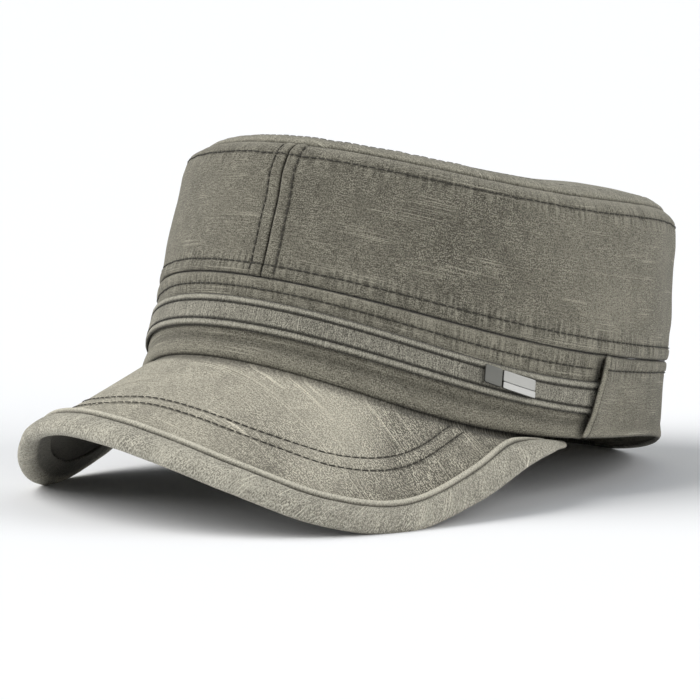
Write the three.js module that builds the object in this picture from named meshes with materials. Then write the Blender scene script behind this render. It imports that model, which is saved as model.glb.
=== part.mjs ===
// A washed cotton patrol cap, resting by itself on a flat surface: a low crown with a flat oval top, a band
// with a sewn strap and a small metal badge, and a curved peak with a rolled binding. Millimetres, +Z up.
// The wearer's front is towards -Y and the wearer's left is +X. A turn is an angle round the head, counted
// from the front towards the wearer's left.
import * as THREE from "three";

// Driving dimensions of the head opening, outside the cloth at the hem
const FRONT_REACH = 104.5;
const BACK_REACH = 103.9;
const SIDE_REACH = 85.3;

// Heights of the soft wall, measured up from the hem
const BAND_HEIGHT = 28.8;
const CROWN_HEIGHT = 48.9;
const STRAP_UP = 9.4;
const STRAP_WIDTH = 10.9;

// Cloth
const CLOTH = 1.6;
const PANEL_CLOTH = 1.8;
const STRAP_CLOTH = 1.3;
const GAP = 0.3;
const SEAM_RIDGE = 0.45;
const STITCH_GROOVE = 0.25;
const SEAM_STITCH = 4.6;
const DENT_DEPTH = 4.6;

// Top panel: how far its middle stands above the top seam, and how far in its edge turns over
const TOP_RISE = 4.6;
const TOP_TURN = 7;

// Seams: the places round the head, in degrees
const FRONT_SEAM_TURN = 6.4;
const BACK_SEAM_TURN = 180;
const SIDE_SEAM_TURN = 80;
const SIDE_SEAM_LEAN = 6.5;
const SAG_TURN = 110;
const SAG_SPREAD = 38;
const BAND_TUCK = 1.6;
const STRAP_TUCK = 1.5;

// Peak
const PEAK_SPREAD = 20;
const PEAK_REACH = 60;
const PEAK_DROP = 40;
const PEAK_CLOTH = 2;
const SEAT_DEPTH = 3.2;
const SEAT_CLEARANCE = 0.35;
const TUCK_DROP = 1.3;
const TUCK_DEPTH = 12;
const TUCK_FROM = 0.76;
const LOWERED_FROM = 0.55;
const LOWERED_TO = 0.8;
const BINDING_WIDTH = 9.2;
const BINDING_CLOTH = 0.9;
const BINDING_NOSE = 1.6;
const PRESSED_END = 0.4;
const PRESSED_FROM = 0.7;
const PRESSED_TO = 0.9;
const SLOT_CLEARANCE = 0.45;

// Badge
const BADGE_TURN = 59.6;
const BADGE_UP = 15.3;
const BADGE_LENGTH = 18.6;
const BADGE_HEIGHT = 6.2;
const BADGE_SQUARE = 6;
const BADGE_SPLIT = 0.5;
const BADGE_METAL = 0.9;
const BADGE_BEVEL = 0.3;
const BADGE_SLOPE = -0.08;

// How far the cloth is pressed flat where it rests
const REST_PRESS = 1.2;

// Level sections of the soft wall, from the hem to the top seam. up is a share of the zone's height, and
// front, back and side are shares of the reaches at the hem. square is the section's roundness, where 2 is
// an ellipse. The rest lift the section round the head, as shares of the band's height: tilt lifts the
// front, saddle the front and back, egg the front against its sides, lean the wearer's left, twist the
// quarters and warp the sides by thirds. sag lets the wall down behind the side seams.
const SECTIONS = [
  { zone: "band", up: 0, front: 0.998, back: 1, side: 0.995, square: 1.8,
    tilt: -0.017, saddle: 0.1, egg: 0.145, lean: 0.054, twist: -0.023, warp: -0.049, sag: 0.11 },
  { zone: "band", up: 0.325, front: 0.975, back: 0.997, side: 0.98, square: 1.82,
    tilt: -0.002, saddle: 0.169, egg: 0.07, lean: 0.018, twist: -0.021, warp: -0.025, sag: 0.045 },
  { zone: "band", up: 0.704, front: 0.957, back: 0.991, side: 0.968, square: 1.83,
    tilt: 0.001, saddle: 0.165, egg: 0.068, lean: 0.005, twist: -0.023, warp: -0.018, sag: 0.01 },
  { zone: "band", up: 1, front: 0.953, back: 0.986, side: 0.967, square: 1.85,
    tilt: 0.006, saddle: 0.156, egg: 0.031, lean: -0.005, twist: -0.021, warp: -0.023, sag: 0 },
  { zone: "crown", up: 0.3, front: 0.938, back: 0.974, side: 0.964, square: 1.87,
    tilt: -0.005, saddle: 0.124, egg: 0.034, lean: 0, twist: -0.022, warp: -0.016, sag: 0 },
  { zone: "crown", up: 0.6, front: 0.918, back: 0.96, side: 0.952, square: 1.89,
    tilt: -0.016, saddle: 0.092, egg: 0.036, lean: 0.006, twist: -0.024, warp: -0.009, sag: 0 },
  { zone: "crown", up: 0.84, front: 0.9, back: 0.947, side: 0.936, square: 1.92,
    tilt: -0.025, saddle: 0.066, egg: 0.038, lean: 0.01, twist: -0.025, warp: -0.004, sag: 0 },
  { zone: "crown", up: 0.93, front: 0.878, back: 0.936, side: 0.912, square: 1.93,
    tilt: -0.028, saddle: 0.056, egg: 0.039, lean: 0.012, twist: -0.026, warp: -0.002, sag: 0 },
  { zone: "crown", up: 1, front: 0.832, back: 0.912, side: 0.867, square: 1.93,
    tilt: -0.031, saddle: 0.049, egg: 0.04, lean: 0.013, twist: -0.026, warp: 0, sag: 0 },
];

// The top panel from the seam inwards. inward is a share of the turned edge's width, rise of TOP_RISE.
const TOP_SECTIONS = [
  { inward: 0, rise: 0 },
  { inward: 0.3, rise: 0.34 },
  { inward: 0.8, rise: 0.6 },
  { inward: 1.6, rise: 0.76 },
  { inward: 3.2, rise: 0.86 },
  { inward: 5.6, rise: 0.93 },
  { inward: 8.4, rise: 1 },
];

// Soft dents and swells of the crown wall. turn and width are degrees, up and tall shares of the crown's
// height, and depth a share of DENT_DEPTH, inwards.
const DENTS = [
  { turn: 126, width: 9, up: 0.45, tall: 0.5, depth: 0.3 },
  { turn: -52, width: 9, up: 0.6, tall: 0.4, depth: 0.3 },
  { turn: 35, width: 22, up: 0.5, tall: 0.3, depth: 0.12 },
  { turn: 80, width: 24, up: 0.4, tall: 0.25, depth: -0.12 },
];

// The peak's outer edge from the wearer's right to the left, measured from the hem at the turn hem. aside is
// a share of PEAK_SPREAD towards the wearer's left, ahead of PEAK_REACH forwards, and drop of PEAK_DROP down.
const PEAK_EDGE = [
  { hem: -76, aside: 0.2, ahead: 0.00928, drop: 0.0674 },
  { hem: -68, aside: -0.137, ahead: -0.00351, drop: 0.0994 },
  { hem: -59, aside: -0.474, ahead: -0.0273, drop: 0.219 },
  { hem: -49, aside: -0.815, ahead: 0.00507, drop: 0.551 },
  { hem: -38, aside: -0.991, ahead: 0.26, drop: 0.938 },
  { hem: -28, aside: -0.89, ahead: 0.526, drop: 0.956 },
  { hem: -19, aside: -0.53, ahead: 0.726, drop: 0.789 },
  { hem: -10, aside: -0.119, ahead: 0.814, drop: 0.748 },
  { hem: 0, aside: 0.11, ahead: 0.82, drop: 0.789 },
  { hem: 10, aside: 0.37, ahead: 0.862, drop: 0.859 },
  { hem: 20, aside: 0.763, ahead: 0.867, drop: 0.953 },
  { hem: 28, aside: 1.26, ahead: 0.707, drop: 1.05 },
  { hem: 35, aside: 1.45, ahead: 0.403, drop: 0.98 },
  { hem: 46, aside: 1.11, ahead: 0.107, drop: 0.579 },
  { hem: 58, aside: 0.66, ahead: -0.0219, drop: 0.198 },
  { hem: 68, aside: 0.304, ahead: -0.0278, drop: 0.0771 },
  { hem: 78, aside: -0.253, ahead: -0.0556, drop: 0.0552 },
];

// Rows across the pieces: where a row lies, and how far the cloth's outer face stands out there, as a
// share of the seam's ridge. near rows are counted in stitch distances from the seam they follow.
const SEAM_ROWS = [
  { near: 0, out: 0.3 },
  { near: 0.3, out: 1 },
  { near: 0.9, out: 0.9 },
  { near: 1, out: -0.5 },
  { near: 1.3, out: 0.2 },
];
const STRAP_ROWS = [
  { across: 0, out: 0.5 },
  { across: 0.05, out: 1 },
  { across: 0.2, out: 1 },
  { across: 0.25, out: 0 },
  { across: 0.32, out: 0.4 },
  { across: 0.5, out: 0.5 },
  { across: 0.68, out: 0.4 },
  { across: 0.75, out: 0 },
  { across: 0.8, out: 1 },
  { across: 0.95, out: 1 },
  { across: 1, out: 0.5 },
];

// The binding's section. inward is a share of its width from the peak's edge, where less than 0 is past
// the edge, and height a share of the binding's cloth above the peak's own cloth and gap.
const BINDING_TOP = [
  { inward: 1, height: 0.25 },
  { inward: 0.98, height: 0.85 },
  { inward: 0.88, height: 1.1 },
  { inward: 0.78, height: 0.95 },
  { inward: 0.74, height: 0.5 },
  { inward: 0.69, height: 0.95 },
  { inward: 0.45, height: 1.4 },
  { inward: 0.12, height: 1.3 },
];
const BINDING_UNDER = [
  { inward: 0.12, height: 1.1 },
  { inward: 0.5, height: 1.2 },
  { inward: 0.97, height: 1 },
  { inward: 1, height: 0.4 },
];
const NOSE_ANGLES = [60, 20, -20, -60];

// How finely the curves are stepped
const DEGREE = Math.PI / 180;
const FULL_TURN = 360 * DEGREE;
const ROUND_STEP = 7.5 * DEGREE;
const WALL_STEP = 8;
const FRONT_STEPS = 24;
const REAR_STEPS = 22;
const PEAK_STEPS = 40;

// Height of a section above the hem, before the lifts round the head
function sectionUp(section) {
  return section.zone === "band" ? section.up * BAND_HEIGHT : BAND_HEIGHT + section.up * CROWN_HEIGHT;
}

const TOP_SEAM_UP = BAND_HEIGHT + CROWN_HEIGHT;

// The section's columns at any height of the wall
function sectionAt(up) {
  let i = 0;
  while (i < SECTIONS.length - 2 && up > sectionUp(SECTIONS[i + 1])) i += 1;
  const low = SECTIONS[i];
  const high = SECTIONS[i + 1];
  const share = (up - sectionUp(low)) / (sectionUp(high) - sectionUp(low));
  const mixed = {};
  for (const key of Object.keys(low)) {
    if (key !== "zone") mixed[key] = low[key] + (high[key] - low[key]) * share;
  }
  return mixed;
}

function dentAt(up, turn) {
  const height = (up - BAND_HEIGHT) / CROWN_HEIGHT;
  let depth = 0;
  for (const dent of DENTS) {
    const sideways = Math.atan2(Math.sin(turn - dent.turn * DEGREE), Math.cos(turn - dent.turn * DEGREE));
    const across = sideways / (dent.width * DEGREE);
    const along = (height - dent.up) / dent.tall;
    depth += dent.depth * DENT_DEPTH * Math.exp(-across * across - along * along);
  }
  return depth;
}

// A point of the soft wall's outer face, in the head's own frame
function wallPoint(up, turn) {
  const s = sectionAt(up);
  const ahead = Math.cos(turn);
  const aside = Math.sin(turn);
  const reach = ahead >= 0 ? s.front * FRONT_REACH : s.back * BACK_REACH;
  const width = s.side * SIDE_REACH;
  const squared = Math.abs(ahead / reach) ** s.square + Math.abs(aside / width) ** s.square;
  const radius = squared ** (-1 / s.square);
  const fromSag = (Math.abs(Math.atan2(aside, ahead)) / DEGREE - SAG_TURN) / SAG_SPREAD;
  const lift = s.tilt * ahead + s.saddle * Math.cos(2 * turn) + s.egg * Math.cos(3 * turn)
    + s.lean * aside + s.twist * Math.sin(2 * turn) + s.warp * Math.sin(3 * turn)
    - s.sag * Math.exp(-fromSag * fromSag);
  const dented = radius - dentAt(up, turn);
  return new THREE.Vector3(dented * aside, -dented * ahead, up + lift * BAND_HEIGHT);
}

// A point of the top panel's outer face, inward millimetres in from the top seam
function topPoint(inward, turn) {
  const rim = wallPoint(TOP_SEAM_UP, turn);
  const rimRadius = Math.hypot(rim.x, rim.y);
  const scaled = inward / TOP_TURN;
  let i = 0;
  while (i < TOP_SECTIONS.length - 2 && scaled > TOP_SECTIONS[i + 1].inward) i += 1;
  const low = TOP_SECTIONS[i];
  const high = TOP_SECTIONS[i + 1];
  const share = (scaled - low.inward) / (high.inward - low.inward);
  const rise = (low.rise + (high.rise - low.rise) * Math.min(share, 1)) * TOP_RISE;
  const left = Math.max(1 - inward / rimRadius, 0);
  const waves = rim.z - TOP_SEAM_UP;
  return new THREE.Vector3(rim.x * left, rim.y * left, TOP_SEAM_UP + waves * left + rise);
}

// The outward direction of a surface, from its two slopes
function normalOf(surface, u, v, du, dv) {
  const along = surface(u + du, v).sub(surface(u - du, v));
  const round = surface(u, v + dv).sub(surface(u, v - dv));
  return round.cross(along).normalize();
}

const SLOPE_STEP = 0.6;
const SLOPE_TURN = 1.5 * DEGREE;

// One surface for the whole crown: below the top seam it is the wall, past it the top panel
function crownPoint(up, turn) {
  return up <= TOP_SEAM_UP ? wallPoint(up, turn) : topPoint(up - TOP_SEAM_UP, turn);
}

function crownOffset(up, turn, out) {
  const normal = normalOf(crownPoint, up, turn, SLOPE_STEP, SLOPE_TURN);
  return crownPoint(up, turn).addScaledVector(normal, out);
}

// Joins an outer and an inner grid of points into one closed body
function clothBody(outer, inner, closedRound) {
  const rows = outer.length;
  const columns = outer[0].length;
  const points = [...outer.flat(), ...inner.flat()];
  const index = [];
  const at = (side, row, column) => side * rows * columns + row * columns + (column % columns);
  const quad = (a, b, c, d) => index.push(a, b, c, a, c, d);
  const lastColumn = closedRound ? columns : columns - 1;
  for (let row = 0; row < rows - 1; row += 1) {
    for (let column = 0; column < lastColumn; column += 1) {
      quad(at(0, row, column), at(0, row, column + 1), at(0, row + 1, column + 1), at(0, row + 1, column));
      quad(at(1, row, column), at(1, row + 1, column), at(1, row + 1, column + 1), at(1, row, column + 1));
    }
  }
  for (let column = 0; column < lastColumn; column += 1) {
    quad(at(0, 0, column), at(1, 0, column), at(1, 0, column + 1), at(0, 0, column + 1));
    const top = rows - 1;
    quad(at(0, top, column), at(0, top, column + 1), at(1, top, column + 1), at(1, top, column));
  }
  if (!closedRound) {
    const end = columns - 1;
    for (let row = 0; row < rows - 1; row += 1) {
      quad(at(0, row, 0), at(0, row + 1, 0), at(1, row + 1, 0), at(1, row, 0));
      quad(at(0, row, end), at(1, row, end), at(1, row + 1, end), at(0, row + 1, end));
    }
  }
  return solid(points, index);
}

// A disc of cloth: rings from the rim inwards, closed by one middle point on each face
function discBody(outer, inner, outerMiddle, innerMiddle) {
  const rows = outer.length;
  const columns = outer[0].length;
  const points = [...outer.flat(), ...inner.flat(), outerMiddle, innerMiddle];
  const index = [];
  const at = (side, row, column) => side * rows * columns + row * columns + (column % columns);
  const middle = (side) => 2 * rows * columns + side;
  for (let column = 0; column < columns; column += 1) {
    for (let row = 0; row < rows - 1; row += 1) {
      for (const side of [0, 1]) {
        const p = at(side, row, column);
        const q = at(side, row, column + 1);
        const r = at(side, row + 1, column + 1);
        const s = at(side, row + 1, column);
        if (side === 0) index.push(p, q, r, p, r, s);
        else index.push(p, r, q, p, s, r);
      }
    }
    const rim = [at(0, 0, column), at(1, 0, column), at(1, 0, column + 1), at(0, 0, column + 1)];
    index.push(rim[0], rim[1], rim[2], rim[0], rim[2], rim[3]);
    index.push(at(0, rows - 1, column), at(0, rows - 1, column + 1), middle(0));
    index.push(at(1, rows - 1, column + 1), at(1, rows - 1, column), middle(1));
  }
  return solid(points, index);
}

// A closed section carried along a line of stations, with its two ends capped
function sweptBody(stations, section) {
  const columns = stations[0].length;
  const points = stations.flat();
  const index = [];
  for (let row = 0; row < stations.length - 1; row += 1) {
    for (let column = 0; column < columns; column += 1) {
      const next = (column + 1) % columns;
      const a = row * columns + column;
      const b = row * columns + next;
      index.push(a, b, b + columns, a, b + columns, a + columns);
    }
  }
  const last = (stations.length - 1) * columns;
  for (const [a, b, c] of THREE.ShapeUtils.triangulateShape(section, [])) {
    const turned = THREE.ShapeUtils.isClockWise(section) ? [a, b, c] : [a, c, b];
    index.push(turned[0], turned[1], turned[2]);
    index.push(last + turned[0], last + turned[2], last + turned[1]);
  }
  return solid(points, index);
}

// A geometry with its faces pointing out, set down in its resting place
function solid(points, index) {
  const placed = points.map(settle);
  let volume = 0;
  for (let i = 0; i < index.length; i += 3) {
    const [a, b, c] = [placed[index[i]], placed[index[i + 1]], placed[index[i + 2]]];
    volume += a.dot(b.clone().cross(c));
  }
  if (volume < 0) {
    for (let i = 0; i < index.length; i += 3) [index[i], index[i + 1]] = [index[i + 1], index[i]];
  }
  const geometry = new THREE.BufferGeometry().setFromPoints(placed);
  geometry.setIndex(index);
  geometry.computeVertexNormals();
  return geometry;
}

// Even steps between two values, both ends included
function steps(from, to, size) {
  const count = Math.max(1, Math.round(Math.abs(to - from) / size));
  return Array.from({ length: count + 1 }, (_, i) => from + ((to - from) * i) / count);
}

// The side seam leans back as it goes up
function sideSeamTurn(side, up) {
  return side * (SIDE_SEAM_TURN + (SIDE_SEAM_LEAN * up) / BAND_HEIGHT) * DEGREE;
}

function hemPoint(turn) {
  return wallPoint(0, turn);
}

// The peak's edge at a share of the way from the wearer's right to the left, in the head's frame
const peakCurve = new THREE.CatmullRomCurve3(PEAK_EDGE.map((row) => hemPoint(row.hem * DEGREE).add(
  new THREE.Vector3(row.aside * PEAK_SPREAD, -row.ahead * PEAK_REACH, -row.drop * PEAK_DROP),
)), false, "centripetal");

function hemTurnAt(share) {
  const place = share * (PEAK_EDGE.length - 1);
  const i = Math.min(Math.floor(place), PEAK_EDGE.length - 2);
  return (PEAK_EDGE[i].hem + (PEAK_EDGE[i + 1].hem - PEAK_EDGE[i].hem) * (place - i)) * DEGREE;
}

// Where the peak's middle face meets the hem: a gap under it, and at the two ends tucked in behind it.
// sideways runs from 0 at the front to 1 at the two ends.
function seatPoint(share) {
  const seat = hemPoint(hemTurnAt(share));
  const sideways = Math.abs(2 * share - 1);
  const lowered = THREE.MathUtils.smoothstep(sideways, LOWERED_FROM, LOWERED_TO);
  const tucked = THREE.MathUtils.smoothstep(sideways, TUCK_FROM, 1);
  const inwards = new THREE.Vector3(-seat.x, -seat.y, 0).normalize();
  seat.addScaledVector(inwards, tucked * TUCK_DEPTH);
  seat.z -= SEAT_CLEARANCE + PEAK_CLOTH / 2 + lowered * TUCK_DROP;
  return seat;
}

function peakWidth(share) {
  return seatPoint(share).distanceTo(peakCurve.getPoint(share));
}

// The peak's middle face: inward millimetres from its edge, towards the hem
function peakPoint(inward, anyShare) {
  const share = THREE.MathUtils.clamp(anyShare, 0, 1);
  const edge = peakCurve.getPoint(share);
  return edge.lerp(seatPoint(share), inward / peakWidth(share));
}

function peakOffset(inward, share, out) {
  const normal = normalOf(peakPoint, inward, share, 1, 0.01).negate();
  return peakPoint(inward, share).addScaledVector(normal, out);
}

// The way the cap settles: it tips back until the peak's low corners and the band's rear both touch
function tipped(point, angle) {
  const y = point.y * Math.cos(angle) + point.z * Math.sin(angle);
  const z = -point.y * Math.sin(angle) + point.z * Math.cos(angle);
  return new THREE.Vector3(point.x, y, z);
}

const RIM_DEPTH = PEAK_CLOTH / 2 + SLOT_CLEARANCE + BINDING_CLOTH * BINDING_UNDER[1].height;
const REAR_FROM = 120 * DEGREE;
const STEEPEST = 40 * DEGREE;
const HALVINGS = 40;
const peakRim = steps(0, 1, 1 / PEAK_STEPS).map((share) => peakCurve.getPoint(share));
const rearHem = steps(REAR_FROM, FULL_TURN - REAR_FROM, ROUND_STEP).map(hemPoint);
const lowest = (points, angle) => Math.min(...points.map((point) => tipped(point, angle).z));

function findRestAngle() {
  let low = 0;
  let high = STEEPEST;
  for (let i = 0; i < HALVINGS; i += 1) {
    const angle = (low + high) / 2;
    if (lowest(peakRim, angle) - RIM_DEPTH < lowest(rearHem, angle)) low = angle;
    else high = angle;
  }
  return (low + high) / 2;
}

const REST_ANGLE = findRestAngle();
const REST_LIFT = -lowest(rearHem, REST_ANGLE) - REST_PRESS;

function settle(point) {
  const p = tipped(point, REST_ANGLE);
  return new THREE.Vector3(p.x, p.y, Math.max(p.z + REST_LIFT, 0));
}

// Rows beside a seam at the low or the high end of a piece, with their relief
function seamRows(from, direction) {
  return SEAM_ROWS.map((row) => ({
    place: from + direction * (row.near * SEAM_STITCH + GAP / 2),
    out: row.out > 0 ? row.out * SEAM_RIDGE : row.out * STITCH_GROOVE * 2,
  }));
}

const bySide = (a, b) => a.place - b.place;
const plain = (place) => ({ place, out: 0 });

// The crown walls, one each side of the front and back seams. The plain cloth starts a few stitch distances
// from the level seams, and a few degrees from the upright ones.
const PLAIN_FROM = 2.8;
const PLAIN_TURN = 9 * DEGREE;

function crownSide(side) {
  const clear = PLAIN_FROM * SEAM_STITCH;
  const ups = [
    ...seamRows(BAND_HEIGHT, 1),
    ...steps(BAND_HEIGHT + clear, TOP_SEAM_UP - clear, WALL_STEP).map(plain),
    ...seamRows(TOP_SEAM_UP, -1),
  ].sort(bySide);
  const seamTurn = (place) => place / ((FRONT_REACH + SIDE_REACH) / 2);
  const front = FRONT_SEAM_TURN * DEGREE;
  const back = BACK_SEAM_TURN * DEGREE * side;
  const turns = [
    ...seamRows(0, side).map((row) => ({ place: front + seamTurn(row.place), out: row.out })),
    ...steps(front + side * PLAIN_TURN, back - side * PLAIN_TURN, ROUND_STEP).map(plain),
    ...seamRows(0, -side).map((row) => ({ place: back + seamTurn(row.place), out: row.out })).reverse(),
  ];
  const out = (up, turn) => {
    const grooved = up.out < 0 || turn.out < 0;
    return grooved ? Math.min(up.out, turn.out) : Math.max(up.out, turn.out);
  };
  const outer = ups.map((up) => turns.map((turn) => crownOffset(up.place, turn.place, out(up, turn))));
  const inner = ups.map((up) => turns.map((turn) => crownOffset(up.place, turn.place, -CLOTH)));
  return clothBody(outer, inner, false);
}

// The top panel's stitched edge, where inward is a share of TOP_TURN and out of the seam's ridge
const TOP_EDGE = [
  { inward: 0.02, out: 0.3 },
  { inward: 0.3, out: 1 },
  { inward: 0.8, out: 1 },
  { inward: 0.95, out: -0.5 },
  { inward: 1.2, out: 0.2 },
];

function crownTop() {
  const turns = steps(0, FULL_TURN, ROUND_STEP).slice(0, -1);
  const place = (row) => TOP_SEAM_UP + row.inward * TOP_TURN;
  const edge = TOP_EDGE.map((row) => ({ place: place(row), out: row.out * SEAM_RIDGE }));
  const middle = TOP_SECTIONS.filter((row) => row.inward > TOP_EDGE.at(-1).inward);
  const rings = [...edge, ...middle.map((row) => plain(place(row)))];
  const outer = rings.map((ring) => turns.map((turn) => crownOffset(ring.place, turn, ring.out)));
  const inner = rings.map((ring) => turns.map((turn) => crownOffset(ring.place, turn, -PANEL_CLOTH)));
  const top = new THREE.Vector3(0, 0, TOP_SEAM_UP + TOP_RISE);
  const under = top.clone();
  under.z -= PANEL_CLOTH;
  return discBody(outer, inner, top, under);
}

// The band's lower wall, with a soft swell over the hem. up is in millimetres, and out a share of the
// seam's ridge.
const BAND_ROWS = [
  { up: GAP / 2, out: 0.2 },
  { up: STRAP_UP * 0.28, out: 0.8 },
  { up: STRAP_UP * 0.67, out: 0.5 },
  { up: STRAP_UP, out: 0 },
  { up: STRAP_UP + STRAP_WIDTH * 0.5, out: 0 },
  { up: STRAP_UP + STRAP_WIDTH, out: 0 },
  { up: BAND_HEIGHT - SEAM_STITCH * 1.1, out: -0.2 },
  { up: BAND_HEIGHT - SEAM_STITCH * 0.9, out: 0.9 },
  { up: BAND_HEIGHT - SEAM_STITCH * 0.3, out: 1 },
  { up: BAND_HEIGHT - GAP / 2, out: 0.3 },
];

function bandFront() {
  const tuck = BAND_TUCK * DEGREE;
  const shares = steps(0, 1, 1 / FRONT_STEPS);
  const turnAt = (up, share) => {
    const right = sideSeamTurn(-1, up) - tuck;
    const left = sideSeamTurn(1, up) + tuck;
    return right + (left - right) * share;
  };
  const outer = BAND_ROWS.map((row) => shares.map((share) => (
    crownOffset(row.up, turnAt(row.up, share), row.out * SEAM_RIDGE))));
  const inner = BAND_ROWS.map((row) => shares.map((share) => (
    crownOffset(row.up, turnAt(row.up, share), -CLOTH))));
  return clothBody(outer, inner, false);
}

// The rear band's edge at a side seam: along is degrees from the fold, lip a share of how far the fold
// stands out over what it covers, and cloth and below shares of the cloth, outside and inside that.
const FOLD_COLUMNS = [
  { along: 0, lip: 1, cloth: 0.5, below: 0 },
  { along: 0.2, lip: 1, cloth: 1, below: 0 },
  { along: 1.6, lip: 1, cloth: 1, below: 0 },
  { along: 2.3, lip: 0.95, cloth: 0.55, below: 0.15 },
  { along: 5.5, lip: 0.6, cloth: 0, below: 1 },
  { along: 11, lip: 0.04, cloth: 0, below: 1 },
];

// The fold covers the front band and, at the strap's height, the strap's end too
function lipOut(up) {
  const overStrap = THREE.MathUtils.smoothstep(up, 0, STRAP_UP)
    * (1 - THREE.MathUtils.smoothstep(up, STRAP_UP + STRAP_WIDTH + GAP, BAND_HEIGHT));
  return 2 * GAP + SEAM_RIDGE + STRAP_CLOTH * overStrap;
}

function foldAt(fold, up, turn) {
  const lip = lipOut(up) * fold.lip;
  return { turn, out: lip + CLOTH * fold.cloth, in: lip - CLOTH * fold.below };
}

function bandRear() {
  const plainTurns = steps(0, 1, 1 / REAR_STEPS);
  const outer = [];
  const inner = [];
  for (const row of BAND_ROWS) {
    const right = FULL_TURN + sideSeamTurn(-1, row.up);
    const left = sideSeamTurn(1, row.up);
    const last = FOLD_COLUMNS.at(-1).along * DEGREE;
    const columns = [
      ...FOLD_COLUMNS.map((fold) => foldAt(fold, row.up, left + fold.along * DEGREE)),
      ...plainTurns.slice(1, -1).map((share) => (
        { turn: left + last + (right - left - 2 * last) * share, out: 0, in: -CLOTH })),
      ...FOLD_COLUMNS.map((fold) => foldAt(fold, row.up, right - fold.along * DEGREE)).reverse(),
    ];
    outer.push(columns.map((column) => crownOffset(row.up, column.turn, column.out + row.out * SEAM_RIDGE)));
    inner.push(columns.map((column) => crownOffset(row.up, column.turn, column.in)));
  }
  return clothBody(outer, inner, false);
}

// The strap lies on the band's front, and its ends go under the side seams' folds
function strapPiece() {
  const tuck = STRAP_TUCK * DEGREE;
  const shares = steps(0, 1, 1 / FRONT_STEPS);
  const faces = (out) => STRAP_ROWS.map((row) => shares.map((share) => {
    const up = STRAP_UP + row.across * STRAP_WIDTH;
    const right = sideSeamTurn(-1, up) - tuck;
    const left = sideSeamTurn(1, up) + tuck;
    return crownOffset(up, right + (left - right) * share, out(row));
  }));
  const outer = faces((row) => GAP + STRAP_CLOTH + (row.out - 0.5) * SEAM_RIDGE);
  const inner = faces(() => GAP);
  return clothBody(outer, inner, false);
}

const PEAK_STATIONS = steps(0, 1, 1 / PEAK_STEPS);
const PEAK_ROWS = [1, 0.8, 0.6, 0.4, 0.2, 0];

// The peak's cloth and stiffener as one plate, seated under the hem
function peakPiece() {
  const faces = (out) => {
    const grid = PEAK_ROWS.map((row) => PEAK_STATIONS.map((share) => (
      peakOffset(row * peakWidth(share), share, out))));
    const seat = PEAK_STATIONS.map((share) => {
      const point = peakOffset(peakWidth(share), share, out);
      const inwards = new THREE.Vector3(-point.x, -point.y, 0).normalize();
      return point.addScaledVector(inwards, SEAT_DEPTH);
    });
    return [seat, ...grid];
  };
  return clothBody(faces(PEAK_CLOTH / 2), faces(-PEAK_CLOTH / 2), false);
}

// The binding's closed section, as millimetres in from the peak's edge and up from its middle face
function bindingSection(share) {
  const sideways = Math.abs(2 * share - 1);
  const pressed = 1 - PRESSED_END * THREE.MathUtils.smoothstep(sideways, PRESSED_FROM, PRESSED_TO);
  const width = BINDING_WIDTH * pressed;
  const cloth = BINDING_CLOTH * pressed;
  const slot = PEAK_CLOTH / 2 + SLOT_CLEARANCE;
  const top = BINDING_TOP.map((row) => new THREE.Vector2(row.inward * width, slot + row.height * cloth));
  const under = BINDING_UNDER.map((row) => new THREE.Vector2(row.inward * width, -slot - row.height * cloth));
  const nose = NOSE_ANGLES.map((angle) => new THREE.Vector2(
    -GAP - BINDING_NOSE * Math.cos(angle * DEGREE),
    (slot + cloth) * Math.sin(angle * DEGREE),
  ));
  const slotPoints = [
    new THREE.Vector2(width, -slot),
    new THREE.Vector2(-GAP, -slot),
    new THREE.Vector2(-GAP, slot),
    new THREE.Vector2(width * 0.99, slot),
  ];
  return [...top, ...nose, ...under, ...slotPoints];
}

function bindingPiece() {
  const stations = PEAK_STATIONS.map((share) => (
    bindingSection(share).map((p) => peakOffset(p.x, share, p.y))));
  return sweptBody(stations, bindingSection(0));
}

// A bent metal plate on the strap, from one millimetre along the badge to another
function badgePlate(from, to) {
  const middle = wallPoint(BADGE_UP, BADGE_TURN * DEGREE);
  const radius = Math.hypot(middle.x, middle.y);
  const base = GAP + STRAP_CLOTH + SEAM_RIDGE + GAP;
  const alongs = [from, from + BADGE_BEVEL, ...steps(from + BADGE_BEVEL * 4, to - BADGE_BEVEL * 4, 2.5),
    to - BADGE_BEVEL, to];
  const ups = [-0.5 * BADGE_HEIGHT, -0.5 * BADGE_HEIGHT + BADGE_BEVEL, 0, 0.5 * BADGE_HEIGHT - BADGE_BEVEL,
    0.5 * BADGE_HEIGHT];
  const faces = (outAt) => ups.map((up, i) => alongs.map((along, j) => {
    const turn = BADGE_TURN * DEGREE + (along - BADGE_LENGTH / 2) / radius;
    const height = BADGE_UP + up + (along - BADGE_LENGTH / 2) * BADGE_SLOPE;
    const rim = i === 0 || j === 0 || i === ups.length - 1 || j === alongs.length - 1;
    return crownOffset(height, turn, outAt(rim));
  }));
  return clothBody(faces((rim) => base + BADGE_METAL - (rim ? BADGE_BEVEL : 0)), faces(() => base), false);
}

function mesh(name, geometry, color, roughness, metalness) {
  const piece = new THREE.Mesh(geometry, new THREE.MeshStandardMaterial({ color, roughness, metalness }));
  piece.name = name;
  return piece;
}

// Colours of the washed cotton and the metal
const CANVAS = 0x8a8371;
const CANVAS_TOP = 0x918b7b;
const CANVAS_LIGHT = 0x9a937f;
const METAL_MATTE = 0x77787a;
const METAL_BRIGHT = 0xc4c6c9;

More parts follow.
